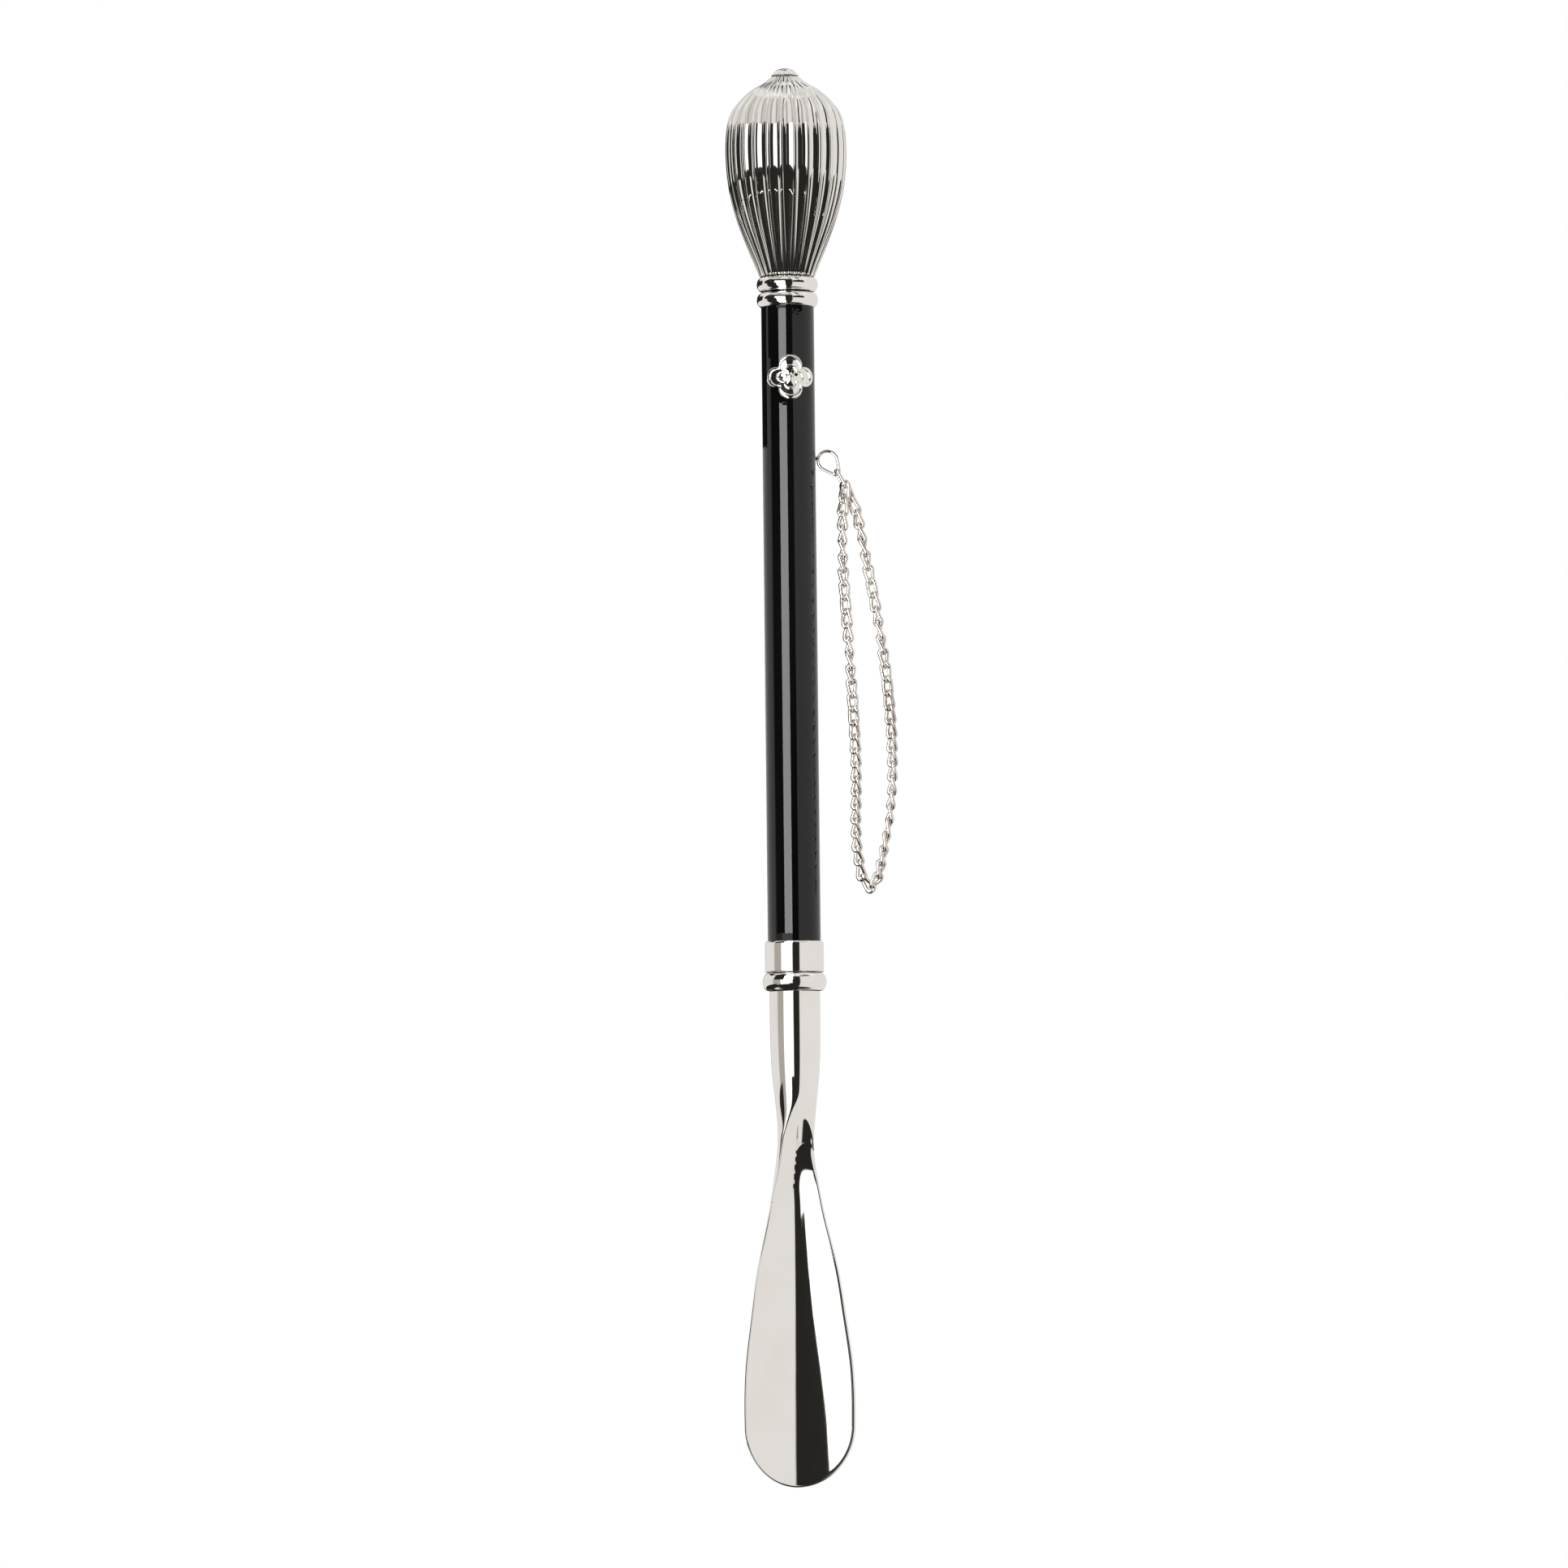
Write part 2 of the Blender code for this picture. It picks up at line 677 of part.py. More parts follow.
def link_line(start, end, reach_before, reach_after):
    """Centre line of one curb link, which reaches a little past its two meeting points."""
    along = (end - start).normalized()
    across = along.cross(Vector((0, 1, 0))).normalized()
    depth = across.cross(along)
    first = start - along * reach_before
    last = end + along * reach_after
    middle = (first + last) / 2
    half = (last - first).length / 2
    points = []
    for a, b in oval(half, LINK_HALF_WIDTH, LINK_HALF_WIDTH, 2):
        turn = LINK_TWIST * a / half
        points.append(
            middle + along * a + across * b * math.cos(turn) + depth * b * math.sin(turn)
        )
    return points


def make_chain(finish):
    """The loop's links, two to a solid: the pair is fused where its links bear on each other.

    Each pair's origin is on the pin line that it turns about, its upper meeting point.
    """
    joints = loop_joints()
    pairs = (len(joints) - 1) // 2
    left_pairs = STRAND_LINKS // 2 + 1      # the pair across the bottom hangs from the left
    for number in range(pairs):
        start, middle, end = joints[2 * number : 2 * number + 3]
        on_left = number < left_pairs
        place = number + 1 if on_left else pairs - number
        name = f"chain_pair_{'left' if on_left else 'right'}_{place:02d}"
        upper = start if on_left else end
        before = HOOK_REACH if number == 0 else RUN_REACH
        after = HOOK_REACH if number == pairs - 1 else RUN_REACH
        first = wire_loop(link_line(start, middle, before, FUSED_REACH), WIRE / 2, 5)
        second = wire_loop(link_line(middle, end, FUSED_REACH, after), WIRE / 2, 5)
        pair = new_object(name, *first, finish, at=upper, sharp=80)
        other = new_object(name + "_second", *second, finish, at=upper, sharp=80)
        boolean(pair, other, "UNION")


clear_scene()

silver = material("silver_plate", (0.80, 0.79, 0.77), 1.0, 0.12)
steel = material("zinc_plated_steel", (0.55, 0.56, 0.58), 1.0, 0.35)
brass = material("brass", (0.78, 0.60, 0.30), 1.0, 0.3)
lacquer = material("black_lacquer", (0.012, 0.012, 0.013), 0.0, 0.06)
chain_metal = material("nickel_chain", (0.82, 0.80, 0.78), 1.0, 0.18)

make_finial(silver)
make_knob(silver)
make_knob_bush(brass)
make_tie_rod(steel)
make_upper_bead(silver)
make_lower_bead(silver)
make_shaft(lacquer)
make_badge(silver)
make_ferrule(silver)
make_ferrule_bead(silver)
make_blade_stud(steel)
make_blade(silver)
make_screw_eye(chain_metal)
make_end_link(chain_metal)
make_chain(chain_metal)
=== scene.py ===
"""Looks of the long shoehorn: fine meshes, materials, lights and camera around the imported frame.

Lengths are in millimetres, and MM turns them into the frame's metres. Points are measured from the
shaft's axis, and AXIS is where that axis stands in the frame. Levels come from the frame's nodes.
"""

import json
import math

import bmesh
import bpy
import numpy as np
from mathutils import Matrix, Vector


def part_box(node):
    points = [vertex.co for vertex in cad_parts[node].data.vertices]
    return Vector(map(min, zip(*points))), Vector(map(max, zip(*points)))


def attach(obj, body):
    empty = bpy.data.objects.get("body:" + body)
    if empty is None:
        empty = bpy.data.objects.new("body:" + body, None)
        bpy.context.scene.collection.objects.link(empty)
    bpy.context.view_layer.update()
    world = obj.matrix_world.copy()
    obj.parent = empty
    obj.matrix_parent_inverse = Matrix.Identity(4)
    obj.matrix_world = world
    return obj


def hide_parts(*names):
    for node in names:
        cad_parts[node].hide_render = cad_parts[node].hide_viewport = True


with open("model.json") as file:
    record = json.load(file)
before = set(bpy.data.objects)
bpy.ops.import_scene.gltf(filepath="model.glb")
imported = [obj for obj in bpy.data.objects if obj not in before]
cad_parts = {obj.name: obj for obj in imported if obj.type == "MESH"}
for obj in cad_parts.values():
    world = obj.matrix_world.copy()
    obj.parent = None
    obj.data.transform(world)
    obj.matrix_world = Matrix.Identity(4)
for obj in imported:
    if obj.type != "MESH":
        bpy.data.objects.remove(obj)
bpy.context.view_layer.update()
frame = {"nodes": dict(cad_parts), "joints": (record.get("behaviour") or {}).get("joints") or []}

MM = 0.001
HANDLE = "shoehorn"             # the body that everything but the chain rides on
ROD_BORE = 2.8                  # radius of the holes that the rods pass through
BORE_SPARE = 1.0                # depth of a hole beyond its rod
CENTRE = 0.02                   # radius of the tiny flat that closes the finial

SHAFT_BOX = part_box("shaft")
AXIS = Vector(((SHAFT_BOX[0].x + SHAFT_BOX[1].x) / 2, 0, 0)) / MM


def low(node):
    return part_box(node)[0] / MM - AXIS


def high(node):
    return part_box(node)[1] / MM - AXIS


# ---------------------------------------------------------------- mesh helpers


def smooth_step(value):
    value = min(max(value, 0.0), 1.0)
    return value * value * (3 - 2 * value)


def between(first, last, share):
    return first + (last - first) * share


def soft_max(first, second, blend):
    """The larger of two numbers, with the change between them rounded off."""
    return (first + second + math.sqrt((first - second) ** 2 + blend**2)) / 2


def smooth_curve(points):
    """The natural cubic spline through (place, value) points, as a function of the place."""
    places, values = np.array(sorted(points), float).T
    steps = np.diff(places)
    count = len(places)
    system = np.eye(count)
    pull = np.zeros(count)
    for i in range(1, count - 1):
        system[i, i - 1 : i + 2] = steps[i - 1], 2 * (steps[i - 1] + steps[i]), steps[i]
        rise = (values[i + 1] - values[i]) / steps[i] - (values[i] - values[i - 1]) / steps[i - 1]
        pull[i] = 6 * rise
    bend = np.linalg.solve(system, pull)

    def value_at(place):
        i = min(max(int(np.searchsorted(places, place)) - 1, 0), count - 2)
        step = steps[i]
        before = (places[i + 1] - place) / step
        after = (place - places[i]) / step
        curve = (before**3 - before) * bend[i] + (after**3 - after) * bend[i + 1]
        return float(before * values[i] + after * values[i + 1] + curve * step**2 / 6)

    return value_at


def spline(points, steps):
    """A centripetal Catmull-Rom curve through the points."""
    knots = [Vector(p) for p in points]
    knots = [2 * knots[0] - knots[1], *knots, 2 * knots[-1] - knots[-2]]
    curve = []
    for a, b, c, d in zip(knots, knots[1:], knots[2:], knots[3:]):
        times = [0.0]
        for p, q in ((a, b), (b, c), (c, d)):
            times.append(times[-1] + math.sqrt((q - p).length))
        t0, t1, t2, t3 = times
        for i in range(steps):
            t = t1 + (t2 - t1) * i / steps
            ab = a.lerp(b, (t - t0) / (t1 - t0))
            bc = b.lerp(c, (t - t1) / (t2 - t1))
            cd = c.lerp(d, (t - t2) / (t3 - t2))
            abc = ab.lerp(bc, (t - t0) / (t2 - t0))
            bcd = bc.lerp(cd, (t - t1) / (t3 - t1))
            curve.append(abc.lerp(bcd, (t - t1) / (t2 - t1)))
    curve.append(knots[-2])
    return curve


def arc(centre, radius, start, end, steps):
    """Points of an arc in a (radius, level) profile, angles in degrees from outwards to upwards."""
    points = []
    for i in range(steps + 1):
        turn = math.radians(start + (end - start) * i / steps)
        points.append((centre[0] + radius * math.cos(turn), centre[1] + radius * math.sin(turn)))
    return points


def even_line(radius, base, top):
    """Profile points up a straight wall, close together at its ends so that it shades flat."""
    shares = (0, 0.004, 0.03, 0.1, 0.3, 0.5, 0.7, 0.9, 0.97, 0.996, 1)
    return [(radius, between(base, top, share)) for share in shares]


def ring_faces(first, second, count):
    return [
        (first + i, first + (i + 1) % count, second + (i + 1) % count, second + i)
        for i in range(count)
    ]


def piece(name, vertices, faces, finish, replaced, body=HANDLE, sharp=40):
    """A smooth mesh from vertices in millimetres, riding on a body in place of CAD nodes."""
    mesh = bpy.data.meshes.new(name)
    mesh.from_pydata([(AXIS + Vector(v)) * MM for v in vertices], [], faces)
    work = bmesh.new()
    work.from_mesh(mesh)
    bmesh.ops.recalc_face_normals(work, faces=work.faces)
    work.to_mesh(mesh)
    work.free()
    mesh.shade_smooth()
    mesh.set_sharp_from_angle(angle=math.radians(sharp))
    mesh.materials.append(finish)
    made = bpy.data.objects.new(name, mesh)
    bpy.context.scene.collection.objects.link(made)
    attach(made, body)
    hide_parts(replaced)
    return made


def turned(profile, steps, closed=True):
    """Vertices and faces of a (radius, level) profile turned about the shaft's axis."""
    vertices = []
    for radius, level in profile:
        for i in range(steps):
            turn = 2 * math.pi * i / steps
            vertices.append((radius * math.cos(turn), radius * math.sin(turn), level))
    faces = []
    rows = len(profile)
    for row in range(rows if closed else rows - 1):
        faces += ring_faces(row * steps, (row + 1) % rows * steps, steps)
    if not closed:
        faces.append(tuple(range(steps)))
        faces.append(tuple(range((rows - 1) * steps, rows * steps)))
    return vertices, faces


def wire_loop(points, radius, sides):
    """Vertices and faces of a closed wire through the points."""
    count = len(points)
    centre = sum(points, Vector()) / count
    vertices = []
    for i, point in enumerate(points):
        along = (points[(i + 1) % count] - points[i - 1]).normalized()
        out = point - centre
        out = (out - along * out.dot(along)).normalized()
        other = along.cross(out)
        for s in range(sides):
            turn = 2 * math.pi * (s + 0.5) / sides
            vertices.append(point + radius * (out * math.cos(turn) + other * math.sin(turn)))
    faces = []
    for i in range(count):
        faces += ring_faces(i * sides, (i + 1) % count * sides, sides)
    return vertices, faces


def oval(half_length, half_width, corner, arc_steps):
    """Centre line of a loop with four round corners, as (along, across) pairs."""
    points = []
    for end in (1, -1):
        for side in (-1, 1):
            for i in range(arc_steps + 1):
                turn = math.pi / 2 * i / arc_steps
                if side < 0:
                    turn = math.pi / 2 - turn
                along = half_length - corner * (1 - math.cos(turn))
                across = side * (half_width - corner * (1 - math.sin(turn)))
                if side > 0 and i == 0 and corner == half_width:
                    continue
                points.append((end * along, end * across))
    return points


# ---------------------------------------------------------------- materials


class Nodes:
    """Short calls for building one node tree."""

    def __init__(self, tree):
        self.tree = tree

    def add(self, kind, **settings):
        node = self.tree.nodes.new(kind)
        for name, value in settings.items():
            setattr(node, name, value)
        return node

    def link(self, source, target):
        self.tree.links.new(source, target)

    def value(self, source, target):
        """Plugs in a socket, or sets a plain value."""
        if isinstance(source, bpy.types.NodeSocket):
            self.link(source, target)
        else:
            target.default_value = source

    def math(self, operation, a, b=0.0):
        node = self.add("ShaderNodeMath", operation=operation)
        for source, target in zip((a, b), node.inputs):
            self.value(source, target)
        return node.outputs[0]

    def range(self, source, from_low, from_high, to_low, to_high, smooth=False):
        node = self.add("ShaderNodeMapRange", clamp=True)
        if smooth:
            node.interpolation_type = "SMOOTHSTEP"
        for value, target in zip((source, from_low, from_high, to_low, to_high), node.inputs):
            self.value(value, target)
        return node.outputs[0]

    def mix(self, share, first, second):
        node = self.add("ShaderNodeMix", data_type="RGBA", blend_type="MIX")
        self.value(share, node.inputs["Factor"])
        self.value(first, node.inputs[6])
        self.value(second, node.inputs[7])
        return node.outputs[2]

    def noise(self, vector, scale, detail=3.0, roughness=0.5):
        node = self.add("ShaderNodeTexNoise")
        self.link(vector, node.inputs["Vector"])
        node.inputs["Scale"].default_value = scale
        node.inputs["Detail"].default_value = detail
        node.inputs["Roughness"].default_value = roughness
        return node.outputs["Fac"]

    def stretched(self, vector, scale):
        node = self.add("ShaderNodeMapping")
        self.link(vector, node.inputs["Vector"])
        node.inputs["Scale"].default_value = scale
        return node.outputs["Vector"]

    def bump(self, height, strength, distance):
        node = self.add("ShaderNodeBump")
        node.inputs["Strength"].default_value = strength
        node.inputs["Distance"].default_value = distance
        self.link(height, node.inputs["Height"])
        return node.outputs["Normal"]


def new_material(name):
    made = bpy.data.materials.new(name)
    made.use_nodes = True
    nodes = Nodes(made.node_tree)
    shader = made.node_tree.nodes["Principled BSDF"]
    place = nodes.add("ShaderNodeTexCoord").outputs["Object"]
    return made, nodes, shader, place


def plated(name, bright, dull, roughness, tarnish, wave):
    """Polished plate: faint clouding of its colour, fine hairlines, and a slow polishing wave."""
    made, nodes, shader, place = new_material(name)
    cloud = nodes.noise(place, 45.0, 4.0)
    share = nodes.range(cloud, 0.45, 0.8, 0.0, tarnish)
    nodes.link(nodes.mix(share, (*bright, 1), (*dull, 1)), shader.inputs["Base Color"])
    shader.inputs["Metallic"].default_value = 1.0
    hairlines = nodes.noise(nodes.stretched(place, (9.0, 9.0, 1.2)), 260.0, 5.0, 0.7)
    nodes.link(
        nodes.range(hairlines, 0.35, 0.75, roughness, roughness * 1.7),
        shader.inputs["Roughness"],
    )
    slow = nodes.noise(place, 70.0, 1.0)
    nodes.link(nodes.bump(slow, wave, 0.0008), shader.inputs["Normal"])
    return made


def black_lacquer():
    """Deep black lacquer under a clear coat with very faint orange peel."""
    made, nodes, shader, place = new_material("black_lacquer")
    depth = nodes.noise(nodes.stretched(place, (1.0, 1.0, 0.1)), 60.0, 3.0)
    share = nodes.range(depth, 0.4, 0.7, 0.0, 1.0)
    colour = nodes.mix(share, (0.003, 0.003, 0.0035, 1), (0.007, 0.007, 0.008, 1))
    nodes.link(colour, shader.inputs["Base Color"])
    shader.inputs["Roughness"].default_value = 0.4
    shader.inputs["Specular IOR Level"].default_value = 0.0
    shader.inputs["Coat Weight"].default_value = 1.0
    shader.inputs["Coat Roughness"].default_value = 0.015
    shader.inputs["Coat IOR"].default_value = 1.47
    peel = nodes.noise(place, 420.0, 2.0)
    nodes.link(nodes.bump(peel, 0.04, 0.0003), shader.inputs["Coat Normal"])
    return made


def bare_metal(name, colour, roughness):
    """Turned or drawn metal that is only seen at the joints between pieces."""
    made, nodes, shader, place = new_material(name)
    lines = nodes.noise(nodes.stretched(place, (1.0, 1.0, 12.0)), 300.0, 4.0)
    darker = tuple(c * 0.7 for c in colour)
    share = nodes.range(lines, 0.4, 0.7, 0.0, 1.0)
    nodes.link(nodes.mix(share, (*colour, 1), (*darker, 1)), shader.inputs["Base Color"])
    shader.inputs["Metallic"].default_value = 1.0
    nodes.link(nodes.range(lines, 0.3, 0.7, roughness, roughness * 1.5), shader.inputs["Roughness"])
    nodes.link(nodes.bump(lines, 0.2, 0.0002), shader.inputs["Normal"])
    return made


SILVER = plated("silver_plate", (0.93, 0.915, 0.89), (0.80, 0.77, 0.72), 0.035, 0.35, 0.05)
CHAIN_METAL = plated("nickel_chain", (0.80, 0.76, 0.72), (0.52, 0.46, 0.41), 0.12, 0.8, 0.1)
LACQUER = black_lacquer()
STEEL = bare_metal("zinc_plated_steel", (0.62, 0.63, 0.65), 0.30)
BRASS = bare_metal("brass", (0.80, 0.62, 0.30), 0.26)


# ---------------------------------------------------------------- knob

FLUTES = 27
FLUTE_DEPTH = 0.85
RIB_HALF_WIDTH = 0.56
RIB_CREST = 0.30               # how far a rib's round top stands over the channel's edges
KNOB_TURN = math.radians(-9.0)  # first rib, from -Y towards -X
KNOB_WALL = 3.2
KNOB_MOUTH = 8.0                # radius of the opening at the foot
RIB_SAMPLES = (0.0, 0.35, 0.62, 0.82, 0.95, 1.0, 1.12, 1.3, 1.6, 2.0)    # in rib half widths
CHANNEL_STEPS = 6
PROFILE_STEPS = 12
# turned profile: share of the widest radius, and share of the knob's height
KNOB_PROFILE = [
    (0.225, 1.000),
    (0.367, 0.967),
    (0.578, 0.929),
    (0.789, 0.868),
    (0.931, 0.801),
    (1.000, 0.661),
    (0.959, 0.449),
    (0.830, 0.288),
    (0.674, 0.159),
    (0.454, 0.000),
]


def flute_share(across, rib, width):
    """Depth of the flute, 0 on top of the rib to 1 in the middle of the channel.

    across is the distance from the rib's middle, rib the rib's half width, width half the pitch.
    """
    if across <= rib:
        return RIB_CREST * (1 - math.sqrt(max(1 - (across / rib) ** 2, 0.0)))
    part = (across - rib) / (width - rib)
    return RIB_CREST + (1 - RIB_CREST) * math.sin(math.pi / 2 * part) ** 0.8


def make_knob():
    base, top = low("knob_shell").z, high("knob_shell").z
    widest = max(-low("knob_shell").x, high("knob_shell").y)
    points = [(r * widest, base + share * (top - base), 0) for r, share in KNOB_PROFILE]
    outline = spline(points, PROFILE_STEPS)
    per_side = len(RIB_SAMPLES) + CHANNEL_STEPS
    vertices = []
    for point in outline:
        radius, level = point.x, point.y
        half_pitch = math.pi * radius / FLUTES
        rib = min(RIB_HALF_WIDTH, half_pitch * 0.42)
        depth = FLUTE_DEPTH * smooth_step((radius - 1.0) / 14.0)
        last = min(RIB_SAMPLES[-1] * rib, half_pitch * 0.9)
        offsets = [min(sample * rib, last) for sample in RIB_SAMPLES]
        shares = [(i + 1) / CHANNEL_STEPS for i in range(CHANNEL_STEPS)]
        offsets += [between(last, half_pitch, share) for share in shares]
        steps = [-o for o in reversed(offsets[1:-1])] + offsets
        for flute in range(FLUTES):
            middle = KNOB_TURN + 2 * math.pi * flute / FLUTES
            for offset in steps:
                r = radius - depth * flute_share(abs(offset), rib, half_pitch)
                turn = middle + offset / radius
                vertices.append((r * math.sin(turn), -r * math.cos(turn), level))
    around = FLUTES * (2 * per_side - 2)
    # the hollow inside, up from the foot, then the rod's hole through the top
    hollow = reversed(outline[18:-8:6])
    inside = [(KNOB_MOUTH, base)]
    inside += [(max(p.x - KNOB_WALL, ROD_BORE + 0.5), p.y) for p in hollow]
    inside += [(ROD_BORE, outline[6].y - 2.0), (ROD_BORE, top)]
    for radius, level in inside:
        for i in range(around):
            turn = KNOB_TURN + 2 * math.pi * (i - per_side + 2) / around
            vertices.append((radius * math.sin(turn), -radius * math.cos(turn), level))
    rows = len(outline) + len(inside)
    faces = []
    for row in range(rows):
        faces += ring_faces(row * around, (row + 1) % rows * around, around)
    return piece("knob", vertices, faces, SILVER, "knob_shell", sharp=70)


def make_finial():
    """Cap nut: a thin lip that seats on the knob, and a smaller dome."""
    base, top = low("finial_cap_nut").z, high("finial_cap_nut").z
    lip = high("finial_cap_nut").x
    height = top - base
    dome = [(lip * 0.90, base + 0.42, 0)]
    for reach, share in ((0.86, 0.30), (0.70, 0.64), (0.40, 0.91)):
        dome.append((lip * reach, base + height * share, 0))
    dome.append((CENTRE, top, 0))
    thread, thread_top = ROD_BORE - 0.1, base + 1.6
    roll = 0.18
    profile = [(CENTRE, thread_top), (thread, thread_top), (thread, base), (lip - 0.15, base)]
    profile += arc((lip - roll, base + 0.2), roll, -70, 90, 8)
    profile += [(p.x, p.y) for p in spline(dome, 8)]
    vertices, faces = turned(profile, 96, closed=False)
    return piece("finial", vertices, faces, SILVER, "finial_cap_nut")


# ---------------------------------------------------------------- rings and ferrule


BEAD_STEPS = 32
BEAD_SQUARENESS = 0.8           # below 1 the bead is fuller than a half circle
KNOB_BEAD_WAIST = 8.5
FERRULE_BEAD_WAIST = 9.0


def make_bead(name, node, waist):
    """Bead ring: a flat waist radius at both ends and a full round between them."""
    base, top = low(node).z, high(node).z
    reach = high(node).x
    half = (top - base) / 2
    middle = (top + base) / 2
    profile = [(ROD_BORE, base)]
    for i in range(BEAD_STEPS + 1):
        turn = math.pi * (i / BEAD_STEPS - 0.5)
        swell = max(math.cos(turn), 0.0) ** BEAD_SQUARENESS
        profile.append((between(waist, reach, swell), middle + half * math.sin(turn)))
    profile.append((ROD_BORE, top))
    vertices, faces = turned(profile, 160)
    return piece(name, vertices, faces, SILVER, node, sharp=50)


def make_ferrule():
    """Sleeve with a rolled upper lip and a crisp lower edge."""
    base, top = low("ferrule_sleeve").z, high("ferrule_sleeve").z
    outer = high("ferrule_sleeve").x
    inner = outer - 0.7
    edge, roll = 0.12, 0.9
    profile = [(inner, base), (outer - edge, base), (outer, base + edge)]
    profile += even_line(outer, base + 2 * edge, top - roll)
    profile += arc((outer - roll, top - roll), roll, 0, 78, 12)[1:]
    profile += [(inner + 0.02, top - 0.05), (inner, top - 0.34)]
    vertices, faces = turned(profile, 160)
    return piece("ferrule", vertices, faces, SILVER, "ferrule_sleeve", sharp=50)


# ---------------------------------------------------------------- shaft and badge


def make_shaft():
    """Turned rod with eased ends, bored at both ends for the rods."""
    base, top = low("shaft").z, high("shaft").z
    radius = high("shaft").x
    upper, lower = low("tie_rod").z - BORE_SPARE, high("blade_stud").z + BORE_SPARE
    ease = 0.4
    profile = [(0.05, upper), (ROD_BORE, upper), (ROD_BORE, top)]
    profile += [(radius - ease, top), (radius - ease / 4, top - ease / 4)]
    profile += even_line(radius, top - ease, base + ease)
    profile += [(radius - ease / 4, base + ease / 4), (radius - ease, base)]
    profile += [(ROD_BORE, base), (ROD_BORE, lower), (0.05, lower)]
    vertices, faces = turned(profile, 160, closed=False)
    return piece("lacquered_shaft", vertices, faces, LACQUER, "shaft")


BADGE_HALF_WIDTH = 8.9          # measured round the shaft
BADGE_GAP = 0.1
BADGE_GROUND = 0.73             # height of the ground between the borders
BADGE_BORDERS = ((0.50, 0.06, 0.38), (0.88, 0.105, 0.52))    # middle, half width, rise
BOSS_SHARE = 0.17
BOSS_RISE = 0.67
BOSS_STEP = 0.07                # the dome's edge over the ground
LOBE_CENTRE = 0.54
LOBE_RADIUS = 1 - LOBE_CENTRE


def clover(turn):
    """Outline of four round lobes in a cross, as a radius for each direction."""
    quarter = math.pi / 2
    off = (turn + quarter / 2) % quarter - quarter / 2
    across = LOBE_CENTRE * math.sin(off)
    return LOBE_CENTRE * math.cos(off) + math.sqrt(LOBE_RADIUS**2 - across**2)


def make_badge():
    """Four-lobed plate bent round the shaft, with two raised borders and a domed boss."""
    shaft = high("shaft").x
    level = (low("clover_badge").z + high("clover_badge").z) / 2
    half_height = (high("clover_badge").z - low("clover_badge").z) / 2
    back, ground = shaft + BADGE_GAP, shaft + BADGE_GROUND
    centre = 0.002                  # both faces close at the centre with a very small ring
    # rings from the boss out over the borders and back behind: share of the outline, and radius
    rings = [(centre, ground + BOSS_RISE)]
    for a in range(15, 91, 15):
        turn = math.radians(a)
        height = between(BOSS_STEP, BOSS_RISE, math.cos(turn))
        rings.append((BOSS_SHARE * math.sin(turn), ground + height))
    rings += [(BOSS_SHARE + 0.02, ground), (0.40, ground)]
    for middle, half, rise in BADGE_BORDERS:
        for a in range(0, 181, 15):
            turn = math.radians(a)
            rings.append((middle - half * math.cos(turn), ground + rise * math.sin(turn)))
    rings += [(1.0, ground - 0.08), (1.0, back + 0.05), (0.99, back)]
    rings += [(share, back) for share in (0.6, 0.3, centre)]
    around = 240
    vertices = []
    for part, radius in rings:
        for i in range(around):
            turn = 2 * math.pi * i / around
            reach = clover(turn) * part
            bend = reach * math.cos(turn) * BADGE_HALF_WIDTH / shaft
            height = level + reach * math.sin(turn) * half_height
            vertices.append((radius * math.sin(bend), -radius * math.cos(bend), height))
    faces = []
    for row in range(len(rings) - 1):
        faces += ring_faces(row * around, (row + 1) * around, around)
    faces.append(tuple(range(around)))
    faces.append(tuple(range((len(rings) - 1) * around, len(rings) * around)))
    return piece("badge", vertices, faces, SILVER, "clover_badge", sharp=50)


# ---------------------------------------------------------------- blade

TIP_HEIGHT = 22.0
BLADE_HALF_WIDTH = 19.9
BLADE_WALL = 2.0
BLADE_EDGES = (0.55, 1.7)        # width of the rounding at the left and at the right rim
BLADE_TURN = math.radians(3.0)  # the blade faces a little to the right of the badge
TURN_HEIGHT = 60.0              # height over which the neck takes up that turn
STEM_TOP = high("shoehorn_blade").z
FINE_TOP = 150.0                # closer rows from here down to NECK_END
BLADE_OUTLINE = [
    (9.0, STEM_TOP),
    (8.9, 158.0),
    (8.3, 146.0),
    (7.0, 133.5),
    (6.65, 122.0),
    (7.7, 111.5),
    (10.4, 95.8),
    (14.4, 78.3),
    (17.0, 61.0),
    (19.3, 2 * TIP_HEIGHT - 0.4),
    (BLADE_HALF_WIDTH, TIP_HEIGHT),
    (19.3, 0.4),                # mirrors the point above the widest place
]
OUTLINE_CURVE = smooth_curve([(z, w) for w, z in BLADE_OUTLINE])
BLADE_SLOPE = 0.53              # steepest slope of the dish across the blade
NECK_TOP = 139.0                # the first cut into the round stem
HOLLOW_TOP = 130.9
HOLLOW_MIDDLE = 3.3
HOLLOW_EDGE = -2.9              # how far back the hollow starts
HOLLOW_SLOPE = 0.9
HOLLOW_CROWN = 2.6              # how far its top edge drops at the sides
HOLLOW_LEFT = 0.2               # left of here it rises steeply back to the front
HOLLOW_LEFT_SLOPE = 8.0
DISH_TOP = 119.0                # from here down the sheet dishes in
DISH_EASE = 14.0                # height over which the dish reaches its full slope
NECK_END = 100.0                # from here down the blade is an even sheet
ROUND_LEFT = 127.0              # up from here the left half is as round as the stem
ROUND_RIGHT = (118.0, 135.0)    # the right half turns from sheet to round between these
LEFT_SLOPE = 0.466              # the neck's cut faces right, 25 degrees from the front
# how far back the neck's cut stands at its right edge
SLOPE_POINTS = [(152, -10.9), (137.3, -4.1), (134.2, -2.7), (128.1, 0.05)]
SLOPE_POINTS += [(125, 1.4), (115, 5.2), (NECK_END, 10.5)]
SLOPE_CURVE = smooth_curve(SLOPE_POINTS)
